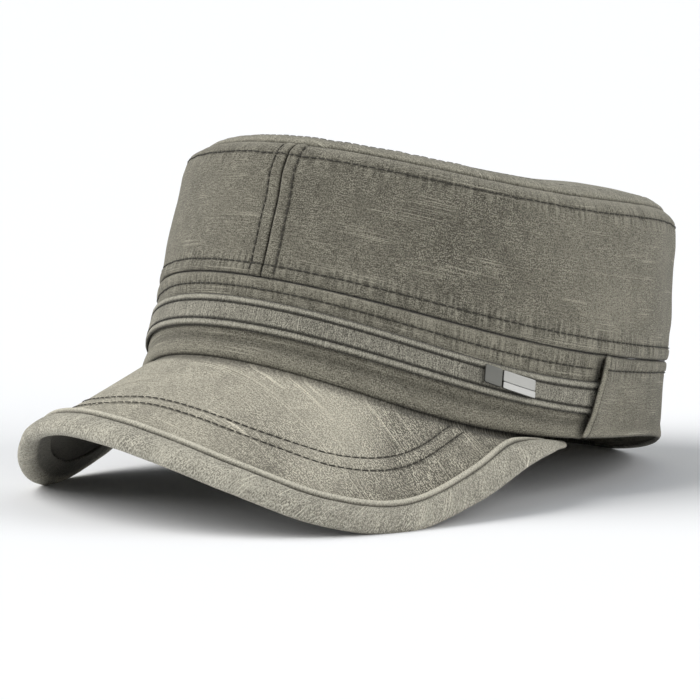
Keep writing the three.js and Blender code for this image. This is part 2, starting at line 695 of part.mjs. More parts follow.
const cap = new THREE.Group();
cap.add(mesh("crown_top", crownTop(), CANVAS_TOP, 0.95, 0));
cap.add(mesh("crown_side_left", crownSide(1), CANVAS, 0.95, 0));
cap.add(mesh("crown_side_right", crownSide(-1), CANVAS, 0.95, 0));
cap.add(mesh("band_front", bandFront(), CANVAS, 0.95, 0));
cap.add(mesh("band_rear", bandRear(), CANVAS, 0.95, 0));
cap.add(mesh("strap", strapPiece(), CANVAS_LIGHT, 0.95, 0));
cap.add(mesh("peak", peakPiece(), CANVAS_LIGHT, 0.95, 0));
cap.add(mesh("peak_binding", bindingPiece(), CANVAS_LIGHT, 0.95, 0));
cap.add(mesh("badge_square", badgePlate(0, BADGE_SQUARE), METAL_MATTE, 0.45, 1));
cap.add(mesh("badge_bar", badgePlate(BADGE_SQUARE + BADGE_SPLIT, BADGE_LENGTH), METAL_BRIGHT, 0.25, 1));

// The origin is under the middle of the cap, on the surface it rests on
const extent = new THREE.Box3().setFromObject(cap);
const centre = extent.getCenter(new THREE.Vector3());
for (const piece of cap.children) piece.geometry.translate(-centre.x, -centre.y, -extent.min.z);

export default cap;
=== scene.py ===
import math

import bpy
import numpy as np
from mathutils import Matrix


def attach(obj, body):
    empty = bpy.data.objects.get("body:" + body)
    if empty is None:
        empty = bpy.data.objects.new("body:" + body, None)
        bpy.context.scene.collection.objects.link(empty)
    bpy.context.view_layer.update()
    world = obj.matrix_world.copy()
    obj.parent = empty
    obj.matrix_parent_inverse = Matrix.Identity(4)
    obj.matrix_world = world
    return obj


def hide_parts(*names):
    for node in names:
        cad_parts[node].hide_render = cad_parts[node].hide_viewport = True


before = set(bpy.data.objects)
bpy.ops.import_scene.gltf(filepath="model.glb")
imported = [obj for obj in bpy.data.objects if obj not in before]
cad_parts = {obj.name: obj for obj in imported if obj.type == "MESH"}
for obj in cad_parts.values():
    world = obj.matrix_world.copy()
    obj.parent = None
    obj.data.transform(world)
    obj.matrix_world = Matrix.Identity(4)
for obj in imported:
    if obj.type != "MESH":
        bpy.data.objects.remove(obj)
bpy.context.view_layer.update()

# The crown walls
# Two curved panels of washed cotton canvas, sewn together at the centre front and the centre back. Their
# seam allowances are turned to the sides and topstitched, so they stand up as flat, puckered ridges.

MM = 0.001
DEGREE = math.pi / 180

FRONT_REACH = 104.5 * MM
BACK_REACH = 103.9 * MM
SIDE_REACH = 85.3 * MM
BAND_HEIGHT = 28.8 * MM
CROWN_HEIGHT = 48.9 * MM
TOP_SEAM_UP = BAND_HEIGHT + CROWN_HEIGHT
TOP_RISE = 4.6 * MM
TOP_TURN = 7 * MM
CLOTH = 1.6 * MM
GAP = 0.3 * MM
SEAM_STITCH = 4.6 * MM
FRONT_SEAM_TURN = 6.4 * DEGREE
DENT_DEPTH = 4.6 * MM

# How the cap lies: tipped back, lifted, and moved to stand over the origin
REST_ANGLE = 0.205331
REST_LIFT = 20.878 * MM
CENTRE_X = 0.867 * MM
CENTRE_Y = -23.322 * MM


def table(columns, *rows):
    """One dict for each row, with the columns' names as keys."""
    return [dict(zip(columns.split(), row)) for row in rows]


# The wall's level sections from the hem up. front, back and side are shares of the reaches, square is 2 for
# an ellipse, and the rest lift the section round the head, as shares of the band's height.
SECTIONS = table(
    "up front back side square tilt saddle egg lean twist warp sag",
    (0, 0.998, 1, 0.995, 1.8, -0.017, 0.1, 0.145, 0.054, -0.023, -0.049, 0.11),
    (0.325 * BAND_HEIGHT, 0.975, 0.997, 0.98, 1.82,
     -0.002, 0.169, 0.07, 0.018, -0.021, -0.025, 0.045),
    (0.704 * BAND_HEIGHT, 0.957, 0.991, 0.968, 1.83,
     0.001, 0.165, 0.068, 0.005, -0.023, -0.018, 0.01),
    (BAND_HEIGHT, 0.953, 0.986, 0.967, 1.85, 0.006, 0.156, 0.031, -0.005, -0.021, -0.023, 0),
    (BAND_HEIGHT + 0.3 * CROWN_HEIGHT, 0.938, 0.974, 0.964, 1.87,
     -0.005, 0.124, 0.034, 0, -0.022, -0.016, 0),
    (BAND_HEIGHT + 0.6 * CROWN_HEIGHT, 0.918, 0.96, 0.952, 1.89,
     -0.016, 0.092, 0.036, 0.006, -0.024, -0.009, 0),
    (BAND_HEIGHT + 0.84 * CROWN_HEIGHT, 0.9, 0.947, 0.936, 1.92,
     -0.025, 0.066, 0.038, 0.01, -0.025, -0.004, 0),
    (BAND_HEIGHT + 0.93 * CROWN_HEIGHT, 0.878, 0.936, 0.912, 1.93,
     -0.028, 0.056, 0.039, 0.012, -0.026, -0.002, 0),
    (TOP_SEAM_UP, 0.832, 0.912, 0.867, 1.93, -0.031, 0.049, 0.04, 0.013, -0.026, 0, 0),
)
# The top panel from the seam inwards, as shares of TOP_TURN and TOP_RISE
TOP_SECTIONS = table(
    "inward rise",
    (0, 0),
    (0.3, 0.34),
    (0.8, 0.6),
    (1.6, 0.76),
    (3.2, 0.86),
    (5.6, 0.93),
    (8.4, 1),
)
# Where the wall sags behind the side seams, in degrees
SAG_TURN = 110
SAG_SPREAD = 38
# Soft dents and swells of the wall: turn and wide in degrees, up and tall as shares of the crown's height,
# depth of DENT_DEPTH
DENTS = table(
    "turn wide up tall depth",
    (126, 9, 0.45, 0.5, 0.3),
    (-52, 9, 0.6, 0.4, 0.3),
    (35, 22, 0.5, 0.3, 0.12),
    (80, 24, 0.4, 0.25, -0.12),
)


def through(x, rows, along, key):
    """A smooth curve through a table's values."""
    at = np.array([row[along] for row in rows], float)
    value = np.array([row[key] for row in rows], float)
    slope = np.gradient(value, at)
    x = np.clip(x, at[0], at[-1])
    i = np.clip(np.searchsorted(at, x) - 1, 0, len(at) - 2)
    width = at[i + 1] - at[i]
    t = (x - at[i]) / width
    return (value[i] * (2 * t ** 3 - 3 * t ** 2 + 1) + value[i + 1] * (3 * t ** 2 - 2 * t ** 3)
            + width * slope[i] * (t ** 3 - 2 * t ** 2 + t) + width * slope[i + 1] * (t ** 3 - t ** 2))


def wall_point(up, turn):
    """The wall's outer face at a height above the hem and a turn round the head."""
    at = {key: through(up, SECTIONS, "up", key) for key in SECTIONS[0] if key != "up"}
    ahead, aside = np.cos(turn), np.sin(turn)
    reach = np.where(ahead >= 0, at["front"] * FRONT_REACH, at["back"] * BACK_REACH)
    width = at["side"] * SIDE_REACH
    power = at["square"]
    radius = (np.abs(ahead / reach) ** power + np.abs(aside / width) ** power) ** (-1 / power)
    for dent in DENTS:
        sideways = np.angle(np.exp(1j * (turn - dent["turn"] * DEGREE))) / (dent["wide"] * DEGREE)
        along = ((up - BAND_HEIGHT) / CROWN_HEIGHT - dent["up"]) / dent["tall"]
        radius = radius - dent["depth"] * DENT_DEPTH * np.exp(-sideways ** 2 - along ** 2)
    lift = (at["tilt"] * ahead + at["saddle"] * np.cos(2 * turn) + at["egg"] * np.cos(3 * turn)
            + at["lean"] * aside + at["twist"] * np.sin(2 * turn) + at["warp"] * np.sin(3 * turn))
    from_sag = (np.abs(np.arctan2(aside, ahead)) / DEGREE - SAG_TURN) / SAG_SPREAD
    lift = lift - at["sag"] * np.exp(-from_sag ** 2)
    return np.stack([radius * aside, -radius * ahead, up + lift * BAND_HEIGHT], -1)


def crown_point(up, turn):
    """The wall, and past the top seam the top panel, as one surface."""
    up, turn = np.broadcast_arrays(np.asarray(up, float), np.asarray(turn, float))
    wall = wall_point(np.minimum(up, TOP_SEAM_UP), turn)
    inward = np.maximum(up - TOP_SEAM_UP, 0)
    left = np.maximum(1 - inward / np.hypot(wall[..., 0], wall[..., 1]), 0)
    rise = through(inward / TOP_TURN, TOP_SECTIONS, "inward", "rise") * TOP_RISE
    past = np.stack([wall[..., 0] * left, wall[..., 1] * left,
                     TOP_SEAM_UP + (wall[..., 2] - TOP_SEAM_UP) * left + rise], -1)
    return np.where((inward > 0)[..., None], past, wall)


def outward(surface, u, v, du, dv):
    """The direction that points out of a surface."""
    along = surface(u + du, v) - surface(u - du, v)
    round_it = surface(u, v + dv) - surface(u, v - dv)
    normal = np.cross(round_it, along)
    return normal / np.linalg.norm(normal, axis=-1, keepdims=True)


def crown_offset(up, turn, out):
    """A point that stands out from the crown's surface."""
    up, turn = np.broadcast_arrays(np.asarray(up, float), np.asarray(turn, float))
    normal = outward(crown_point, up, turn, 0.6 * MM, 1.5 * DEGREE)
    return crown_point(up, turn) + normal * np.asarray(out)[..., None]


def settled(point):
    """Tips, lifts and presses a point of the worn cap to where it rests."""
    x, y, z = point[..., 0], point[..., 1], point[..., 2]
    back = y * math.cos(REST_ANGLE) + z * math.sin(REST_ANGLE)
    high = -y * math.sin(REST_ANGLE) + z * math.cos(REST_ANGLE) + REST_LIFT
    return np.stack([x - CENTRE_X, back - CENTRE_Y, np.maximum(high, 0)], -1)


def ripple(along, spacing, seed):
    """Soft uneven waves from -1 to 1, about one each spacing."""
    values = np.random.default_rng(seed).uniform(-1, 1, 4096)
    place = np.asarray(along) / spacing + 2000
    i = np.floor(place).astype(int)
    t = place - i
    t = t * t * (3 - 2 * t)
    return values[i % 4096] * (1 - t) + values[(i + 1) % 4096] * t


def bump_at(distance, middle, half):
    """One round bump of height 1."""
    return np.exp(-((distance - middle) / half) ** 2)


# Relief of a topstitched seam: how high its allowance and puckers stand, and how deep stitches and seam lie
ALLOWANCE_SWELL = 0.42 * MM
PUCKER_HEIGHT = 0.4 * MM
STITCH_DIP = 0.42 * MM
SEAM_DIP = 0.6 * MM


def seam_relief(distance, along, stitch, strength, seed):
    """Height of a topstitched seam allowance, by distance from the seam and place along it. Also returns how
    pale the cloth is, as wear and painted highlight on its ridges, how dark, as painted shade in its grooves
    and pucker hollows, and how puckered."""
    inside = 1 / (1 + np.exp((distance - stitch) / (0.35 * MM)))
    swell = ALLOWANCE_SWELL * inside * (1 - np.exp(-(distance / (0.8 * MM)) ** 2))
    pull = ripple(along, 2.2 * MM, seed) * 0.6 + ripple(along + distance * 0.5, 4.9 * MM, seed + 1) * 0.6
    across = np.sin(np.pi * np.clip(distance / (stitch * 1.9), 0, 1)) ** 0.8
    height = swell + strength * PUCKER_HEIGHT * pull * across
    height = (height - STITCH_DIP * bump_at(distance, stitch, 0.45 * MM)
              - SEAM_DIP * bump_at(distance, 0, 0.3 * MM))
    # Paler on the allowance and the pucker ridges, as wear and painted highlight; darker in the stitch
    # groove, the seam and the pucker hollows, as painted shade.
    wear_and_highlight = strength * np.clip(pull, -0.2, 1) * across * 0.7 + 0.3 * bump_at(distance, 1.1 * MM, 0.8 * MM)
    shade = (0.5 * bump_at(distance, stitch, 0.5 * MM) + 0.75 * bump_at(distance, 0, 0.36 * MM)
             + strength * np.clip(-pull, 0, 1) * across * 0.35)
    return height, wear_and_highlight, shade, strength * across


def cut_cloth(name, columns, rows):
    """Adds a flat grid of cloth, and gives its corner values across (0 to 1) and up (0 to 1)."""
    bpy.ops.object.select_all(action="DESELECT")
    bpy.ops.mesh.primitive_grid_add(x_subdivisions=columns, y_subdivisions=rows, size=2, calc_uvs=True)
    piece = bpy.context.object
    piece.name = name
    piece.data.name = name
    places = np.empty(len(piece.data.vertices) * 3, np.float32)
    piece.data.vertices.foreach_get("co", places)
    places = places.reshape(-1, 3).astype(float)
    return piece, (places[:, 0] + 1) / 2, (places[:, 1] + 1) / 2


def lay_cloth(piece, points, thread_x, thread_y, wear_and_highlight, shade, pucker, tone_and_painted_light=1):
    """Lays the grid on its form. The cloth's own threads, in metres, become its UV map. How pale it is from
    wear and painted highlight, how dark from painted shade, how puckered, and its tone with painted light and
    shade, become attributes for its material."""
    mesh = piece.data
    mesh.vertices.foreach_set("co", points.astype(np.float32).ravel())
    corner = np.empty(len(mesh.loops), np.int32)
    mesh.loops.foreach_get("vertex_index", corner)
    threads = np.stack([thread_x, thread_y], -1)[corner].astype(np.float32)
    mesh.uv_layers.active.data.foreach_set("uv", threads.ravel())
    # The attributes paint wear and highlights paler, shade darker, and light and shade into the tone.
    for key, value in (("wear_and_highlight", wear_and_highlight), ("shade", shade), ("pucker", pucker), ("tone_and_painted_light", tone_and_painted_light)):
        layer = mesh.attributes.new(key, "FLOAT", "POINT")
        layer.data.foreach_set("value", np.broadcast_to(value, len(points)).astype(np.float32))
    mesh.update()


def lie_on_floor(mesh):
    """Flattens what the thickness pressed through the surface the cap rests on."""
    places = np.empty(len(mesh.vertices) * 3, np.float32)
    mesh.vertices.foreach_get("co", places)
    places[2::3] = np.maximum(places[2::3], 0)
    mesh.vertices.foreach_set("co", places)
    mesh.update()


def finish_cloth(piece, thickness, turn_over=False):
    """Merges, faces the cloth outwards, gives it its thickness inwards, and smooths its shading."""
    bpy.ops.object.select_all(action="DESELECT")
    piece.select_set(True)
    bpy.context.view_layer.objects.active = piece
    bpy.ops.object.mode_set(mode="EDIT")
    bpy.ops.mesh.select_all(action="SELECT")
    bpy.ops.mesh.remove_doubles(threshold=0.00001)
    if turn_over:
        bpy.ops.mesh.flip_normals()
    bpy.ops.object.mode_set(mode="OBJECT")
    wall = piece.modifiers.new("cloth", "SOLIDIFY")
    wall.thickness = thickness
    wall.offset = -1
    wall.use_even_offset = False
    bpy.ops.object.modifier_apply(modifier=wall.name)
    bpy.ops.object.shade_smooth()
    lie_on_floor(piece.data)


def arc_length(points):
    """Distance along a line of points."""
    step = np.linalg.norm(np.diff(points, axis=0), axis=1)
    return np.concatenate([[0], np.cumsum(step)])


level = np.linspace(-180, 360, 1081) * DEGREE
level_length = arc_length(crown_point(BAND_HEIGHT, level))


def round_length(turn):
    """Length of cloth round the head up to a turn, measured at the lower seam."""
    return np.interp(turn, level, level_length)


def side_strength(turn):
    """Seams are pulled most at the sides and the back, where the cloth was stretched in sewing."""
    round_it = np.abs(np.angle(np.exp(1j * turn))) / DEGREE
    return 0.75 + 0.25 * np.clip((round_it - 25) / 45, 0, 1)


# The waves fade out over this distance from the seams
WAVES_FADE = 12 * MM


def crown_relief(up, turn):
    """Relief of the crown's walls: the seams at the bottom, the top, the front and the back, and soft waves.
    Also returns how pale the cloth is, as wear and painted highlight, how dark, as painted shade, and how
    puckered."""
    along = round_length(turn)
    low = seam_relief(up - BAND_HEIGHT, along, SEAM_STITCH, side_strength(turn), 11)
    high = seam_relief(TOP_SEAM_UP - up, along, SEAM_STITCH, 0.8 * side_strength(turn), 23)
    front = np.abs(along - round_length(FRONT_SEAM_TURN))
    back = np.abs(along - round_length(180 * DEGREE * np.sign(turn - FRONT_SEAM_TURN)))
    middle = seam_relief(np.minimum(front, back), up, SEAM_STITCH, 0.3, 37)
    waves = (ripple(along + 0.6 * up, 27 * MM, 41) * 0.6 * MM
             + ripple(along - 0.4 * up, 9 * MM, 43) * 0.2 * MM
             + ripple(up * 1.3 + 0.15 * along, 13 * MM, 47) * 0.25 * MM - 0.3 * MM)
    calm = (np.clip((up - BAND_HEIGHT) / WAVES_FADE, 0, 1)
            * np.clip((TOP_SEAM_UP - up) / WAVES_FADE, 0, 1))
    total = low[0] + high[0] + middle[0] + waves * calm
    rubbed_rim = 0.55 * bump_at(TOP_SEAM_UP - up, 1.5 * MM, 3 * MM) * side_strength(turn)
    # Paler on the waves' crests, as painted highlight, and at the rubbed rim, as wear.
    wear_and_highlight = low[1] + high[1] + middle[1] + 0.1 * waves / (0.5 * MM) + rubbed_rim
    shade = np.maximum(np.maximum(low[2], high[2]), middle[2])
    return total, wear_and_highlight, shade, np.maximum(low[3], high[3])


# How far a panel's edge stays from the seam's middle
SEAM_TOUCH = 0.02 * MM


def crown_panel(name, side):
    """One crown wall, from the front seam to the back seam."""
    piece, across, rise = cut_cloth(name, 420, 60)
    start = FRONT_SEAM_TURN + side * SEAM_TOUCH / FRONT_REACH
    end = side * (180 * DEGREE - SEAM_TOUCH / BACK_REACH)
    turn = start + (end - start) * (across - 0.03 * np.sin(2 * np.pi * across))
    up = BAND_HEIGHT + SEAM_TOUCH + (CROWN_HEIGHT - 2 * SEAM_TOUCH) * (rise - 0.06 * np.sin(2 * np.pi * rise))
    height, wear_and_highlight, shade, pucker = crown_relief(up, turn)
    points = settled(crown_offset(up, turn, height))
    # Painted shade darkens the wall's front quarter and painted light brightens its side near 100 degrees
    # round.
    tone_and_painted_light = (1 - 0.26 * bump_at(turn, 38 * DEGREE, 32 * DEGREE)
            + 0.25 * bump_at(turn, 100 * DEGREE, 25 * DEGREE))
    lay_cloth(piece, points, round_length(turn), up, wear_and_highlight, shade, pucker, tone_and_painted_light)
    finish_cloth(piece, CLOTH, turn_over=side < 0)
    return piece


def add_node(nodes, kind, **values):
    """Adds a shader node. Its inputs' values are given by name, with _ for a space."""
    made = nodes.new("ShaderNode" + kind)
    for key, value in values.items():
        made.inputs[key.replace("_", " ")].default_value = value
    return made


def cotton(name, deep, pale, slub_turn=0.0, slub_length=26.0, slubs=0.8, pucker_turn=0.0):
    """Washed heathered canvas: mixed dark and pale yarns, thin pale slubs and a fine weave. Ridges are paler,
    as wear and painted highlight, and grooves darker, as painted shade. Its pattern follows the cloth's own
    threads.
    Patterns are counted in repeats per metre along and across the threads, and slub_length is such a count."""
    material = bpy.data.materials.new(name)
    material.use_nodes = True
    nodes, links = material.node_tree.nodes, material.node_tree.links
    nodes.clear()

    def feed(socket, value):
        if isinstance(value, (int, float)):
            socket.default_value = value
        elif isinstance(value, tuple):
            socket.default_value = (*value, 1)
        else:
            links.new(value, socket)

    def threads(turn, per_metre_x, per_metre_y):
        mapping = add_node(nodes, "Mapping")
        mapping.vector_type = "TEXTURE"
        mapping.inputs["Rotation"].default_value[2] = turn
        mapping.inputs["Scale"].default_value = (1 / per_metre_x, 1 / per_metre_y, 1)
        links.new(cloth.outputs["UV"], mapping.inputs["Vector"])
        return mapping.outputs["Vector"]

    def noise(vector, detail=2.0, rough=0.6):
        made = add_node(nodes, "TexNoise", Scale=1, Detail=detail, Roughness=rough)
        links.new(vector, made.inputs["Vector"])
        return made.outputs["Fac"]

    def span(value, low, high, to_low=0.0, to_high=1.0):
        made = add_node(nodes, "MapRange", From_Min=low, From_Max=high, To_Min=to_low, To_Max=to_high)
        links.new(value, made.inputs["Value"])
        return made.outputs["Result"]

    def join(operation, a, b):
        made = add_node(nodes, "Math")
        made.operation = operation
        feed(made.inputs[0], a)
        feed(made.inputs[1], b)
        return made.outputs["Value"]

    def times(a, b):
        return join("MULTIPLY", a, b)

    def plus(a, b):
        return join("ADD", a, b)

    def blend(factor, a, b):
        made = add_node(nodes, "Mix")
        made.data_type = "RGBA"
        feed(made.inputs["Factor"], factor)
        feed(made.inputs[6], a)
        feed(made.inputs[7], b)
        return made.outputs[2]

    def painted(key):
        made = add_node(nodes, "Attribute")
        made.attribute_name = key
        return made.outputs["Fac"]

    cloth = add_node(nodes, "UVMap")
    cloth.uv_map = "UVMap"
    weft = noise(threads(slub_turn, 420, 2600), 1, 0.5)
    warp = noise(threads(slub_turn, 2600, 500), 1, 0.5)
    fleck = noise(threads(slub_turn + 0.5, 2150, 2300), 1, 0.7)
    dark_fleck = noise(threads(slub_turn - 0.7, 1600, 1700), 1, 0.7)
    cloud = noise(threads(0.2, 95, 80), 3, 0.6)
    patch = noise(threads(0.4, 24, 30), 2, 0.5)
    heather = noise(threads(0.9, 150, 130), 2, 0.6)
    clouds = plus(times(cloud, 0.4), times(patch, 0.6))
    faded = span(clouds, 0.36, 0.64, 0.78, 1.24)
    middle_colour = tuple(0.6 * d + 0.4 * p for d, p in zip(deep, pale))
    tone = add_node(nodes, "HueSaturation", Color=(*middle_colour, 1))
    links.new(times(faded, painted("tone_and_painted_light")), tone.inputs["Value"])
    mixed = span(heather, 0.4, 0.6, 0.6, 1.0)
    dark_threads = plus(times(dark_fleck, 0.6), times(warp, 0.4))
    dark_yarn = times(span(dark_threads, 0.52, 0.42), 0.7)
    pale_threads = plus(times(fleck, 0.65), times(weft, 0.35))
    pale_yarn = times(span(pale_threads, 0.49, 0.56), mixed)
    woven = blend(dark_yarn, tone.outputs["Color"], deep)
    woven = blend(times(pale_yarn, 0.95), woven, pale)

    slub_line = noise(threads(slub_turn, slub_length, 2700), 0, 0.4)
    slub_place = noise(threads(slub_turn, slub_length * 1.6, 210), 1, 0.4)
    beads = noise(threads(slub_turn, 1500, 1500), 0, 0.4)
    slub = times(span(slub_line, 0.57, 0.66), span(slub_place, 0.52, 0.7))
    slub = times(slub, span(beads, 0.35, 0.6, 0.35, 1))
    slub_colour = tuple(min(1, c * 1.6) for c in pale)
    with_slubs = blend(times(slub, slubs), woven, slub_colour)

    ridges = noise(threads(pucker_turn, 820, 80), 1, 0.5)
    pulled = painted("pucker")
    # Pucker ridges are painted paler, as painted highlight and wear, and pucker hollows darker, as painted
    # shade.
    ridge = times(span(ridges, 0.5, 0.62), pulled)
    hollow = times(span(ridges, 0.5, 0.38), pulled)
    # Paler where the cloth is worn and where its ridges would catch the light: wear and painted highlight.
    rubbed_and_lit = span(times(painted("wear_and_highlight"), span(fleck, 0.35, 0.65, 0.5, 1.4)), 0.05, 1.0, 0.0, 0.7)
    lighter = join("MAXIMUM", rubbed_and_lit, times(ridge, 0.5))
    rubbed_and_lit_colour = tuple(min(1, c * 1.2) for c in pale)
    with_ridges = blend(lighter, with_slubs, rubbed_and_lit_colour)
    # Darker in grooves, creases, beside folds, under the hem and under the peak: painted shade.
    darker = join("MAXIMUM", span(painted("shade"), 0.05, 1.0, 0.0, 0.85), times(hollow, 0.35))
    final = blend(darker, with_ridges, tuple(c * 0.35 for c in deep))

    weave = plus(times(weft, 0.5), times(warp, 0.5))
    height = plus(times(weave, 0.6), times(fleck, 0.6))
    height = plus(height, times(slub, 0.4))
    height = plus(height, times(times(ridges, pulled), 3.0))
    bump = add_node(nodes, "Bump", Strength=0.8, Distance=0.0005)
    links.new(height, bump.inputs["Height"])
    shader = add_node(nodes, "BsdfPrincipled", Roughness=0.92, Specular_IOR_Level=0.15,
                      Sheen_Weight=0.08, Sheen_Roughness=0.6)
    links.new(final, shader.inputs["Base Color"])
    links.new(bump.outputs["Normal"], shader.inputs["Normal"])
    out = add_node(nodes, "OutputMaterial")
    links.new(shader.outputs["BSDF"], out.inputs["Surface"])
    return material


CANVAS_DEEP = (0.042, 0.037, 0.026)
CANVAS_PALE = (0.31, 0.292, 0.232)
canvas = cotton("washed_canvas", CANVAS_DEEP, CANVAS_PALE)

crown_left = crown_panel("crown_left", 1)
crown_right = crown_panel("crown_right", -1)
for wall, cad_node in ((crown_left, "crown_side_left"), (crown_right, "crown_side_right")):
    wall.data.materials.append(canvas)
    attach(wall, "root")
    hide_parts(cad_node)

# The top panel
# One flat oval of the same canvas. Its edge turns over into the top seam, with the allowance pressed
# inwards and topstitched all round.

PANEL_CLOTH = 1.8 * MM
PANEL_STITCH = TOP_TURN * 0.86
PANEL_PULL = 0.5
PANEL_SEED = 53
PANEL_SAG = 0.35 * MM
PANEL_DOME = 2.2 * MM

panel, across, rise = cut_cloth("crown_panel", 360, 56)
at_middle = rise > 0.999
turn = across * 2 * math.pi
rim = np.hypot(*np.moveaxis(crown_point(TOP_SEAM_UP, turn)[:, :2], -1, 0))
inward = SEAM_TOUCH + (rim - SEAM_TOUCH) * rise ** 1.9
along = round_length(turn)
height, wear_and_highlight, shade = seam_relief(inward, along, PANEL_STITCH, PANEL_PULL, PANEL_SEED)[:3]
flat = crown_point(TOP_SEAM_UP + inward, turn)
sag = ripple(flat[:, 0] + 0.3 * flat[:, 1], 34 * MM, 59) + ripple(flat[:, 1], 41 * MM, 61)
height = height + PANEL_SAG * sag * np.clip((inward - 8 * MM) / (20 * MM), 0, 1) * (rise < 0.97)
dome = PANEL_DOME * np.clip((flat[:, 1] + 55 * MM) / (90 * MM), -0.3, 1)
height = height + dome * np.clip((inward - 3 * MM) / (24 * MM), 0, 1) * np.clip((1 - rise) / 0.1, 0, 1)
height = np.where(at_middle, 0, height)
points = crown_offset(TOP_SEAM_UP + np.minimum(inward, rim - 0.5 * MM), turn, height)
middle = np.array([0, 0, TOP_SEAM_UP + TOP_RISE])
points = np.where(at_middle[:, None], middle, points)
lay_cloth(panel, settled(points), flat[:, 0], flat[:, 1], wear_and_highlight, shade, 0)
finish_cloth(panel, PANEL_CLOTH)

canvas_top = cotton("washed_canvas_top", (0.1, 0.093, 0.07), (0.38, 0.36, 0.29))
panel.data.materials.append(canvas_top)
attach(panel, "root")
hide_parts("crown_top")

# The band
# The lower wall under the crown. The front part is tucked under the folded edges of the rear part at the
# side seams, and the hem is turned in, which leaves a soft roll and a crease above it.

STRAP_UP = 9.4 * MM
STRAP_WIDTH = 10.9 * MM
STRAP_CLOTH = 1.3 * MM
SEAM_RIDGE = 0.45 * MM
# The side seams' turn at the hem, and how much further back they are at the top, in degrees
SIDE_SEAM_TURN = 80
SIDE_SEAM_LEAN = 6.5
CREASE_UP = 6.4 * MM
FRONT_CREASE = 0.55 * MM
REAR_CREASE = 0.12 * MM
FRONT_TUCK = 1.6 * DEGREE


def side_seam(side, up):
    """The side seam's turn. It leans back as it goes up."""
    return side * (SIDE_SEAM_TURN + SIDE_SEAM_LEAN * up / BAND_HEIGHT) * DEGREE


def smooth_step(x, low, high):
    """Rises softly from 0 to 1 between two values."""
    t = np.clip((x - low) / (high - low), 0, 1)
    return t * t * (3 - 2 * t)


def band_relief(up, turn, crease):
    """Relief of the seam allowance under the crown, the crease and the rolled hem. Also returns how pale the
    cloth is, as wear and painted highlight, how dark, as painted shade in the crease, the grooves and at the
    hem's edge, and how puckered."""
    along = round_length(turn)
    high = seam_relief(BAND_HEIGHT - up, along, SEAM_STITCH, side_strength(turn), 71)
    roll = 0.35 * MM * bump_at(up, 2.4 * MM, 2.2 * MM) - 0.8 * MM * bump_at(up, 0, 0.8 * MM)
    fold = -crease * bump_at(up, CREASE_UP + ripple(along, 40 * MM, 73) * 0.6 * MM, 1.1 * MM)
    waves = ripple(along, 17 * MM, 79) * 0.2 * MM * bump_at(up, 6 * MM, 6 * MM)
    # The roll is paler, as wear and painted highlight; the crease and the hem's lower edge are darker, as
    # painted shade.
    wear_and_highlight = high[1] + 0.3 * bump_at(up, 2.2 * MM, 1.6 * MM)
    shade = np.maximum(high[2], 0.5 * bump_at(up, CREASE_UP, 1.5 * MM) * crease / (0.6 * MM))
    return high[0] + roll + fold + waves, wear_and_highlight, shade + 0.6 * bump_at(up, 0, 0.5 * MM), high[3]


band, across, rise = cut_cloth("band_front_cloth", 380, 44)
up = GAP / 2 + (BAND_HEIGHT - GAP / 2 - SEAM_TOUCH) * rise
first, last = side_seam(-1, up) - FRONT_TUCK, side_seam(1, up) + FRONT_TUCK
turn = first + (last - first) * across
height, wear_and_highlight, shade, pucker = band_relief(up, turn, FRONT_CREASE)
# The cloth lies flat under the strap, and where it is tucked under the rear band
bed = 1 / (1 + np.exp((np.abs(up - STRAP_UP - STRAP_WIDTH / 2) - STRAP_WIDTH / 2 - 0.5 * MM) / (0.2 * MM)))
height = np.where(bed > 0.02, height * (1 - bed) - 0.05 * MM * bed, height)
tucked = 1 / (1 + np.exp(-(np.abs(turn) - side_seam(1, up) + 1.0 * DEGREE) / (0.3 * DEGREE)))
height = height * (1 - tucked)
# Painted light: the front band is lighter below the strap on the wearer's right, where the left softbox
# falls.
tone_and_painted_light = 1.1 + 0.75 * smooth_step(-turn, 0, 55 * DEGREE) * smooth_step(STRAP_UP - up, 0, 3 * MM)
lay_cloth(band, settled(crown_offset(up, turn, height)), round_length(turn), up, wear_and_highlight, shade, pucker, tone_and_painted_light)
finish_cloth(band, CLOTH)
band.data.materials.append(canvas)
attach(band, "root")
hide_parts("band_front")

# The rear band's folded edge. along is degrees from the fold, lip a share of the lift over what lies under
# it, and cloth the further lift in thicknesses of cloth.
FOLD = table(
    "along lip cloth",
    (-0.3, 1, 0.15),
    (-0.12, 1, 0.7),
    (0.3, 1, 1.05),
    (1.3, 1, 1.05),
    (1.9, 1, 0.5),
    (2.6, 0.92, 0.45),
    (5.5, 0.6, 0.1),
    (11, 0.04, 0),
    (15, 0, 0),
)


def lip_out(up):
    """How far the fold stands out: over the front band, and over the strap's end at its height."""
    above_strap = smooth_step(up, STRAP_UP + STRAP_WIDTH + GAP, BAND_HEIGHT)
    over_strap = smooth_step(up, 0, STRAP_UP) * (1 - above_strap)
    return 2 * GAP + SEAM_RIDGE + STRAP_CLOTH * over_strap


def rear_out(up, from_fold, relief):
    """How far the rear band stands out: its fold, and its relief, which is lower at the fold."""
    lip = through(from_fold, FOLD, "along", "lip")
    cloth = through(from_fold, FOLD, "along", "cloth")
    return lip_out(up) * lip + CLOTH * cloth + relief * np.clip(from_fold / 1.5, 0.3, 1)


rear, across, rise = cut_cloth("band_rear_cloth", 460, 40)
up = GAP / 2 + (BAND_HEIGHT - GAP / 2 - SEAM_TOUCH) * rise
first, last = side_seam(1, up), 2 * math.pi + side_seam(-1, up)
spread = across - 0.1 * np.sin(2 * np.pi * across)
turn = first + (last - first) * spread
height, wear_and_highlight, shade, pucker = band_relief(up, turn, REAR_CREASE)
from_fold = np.minimum(turn - first, last - turn) / DEGREE
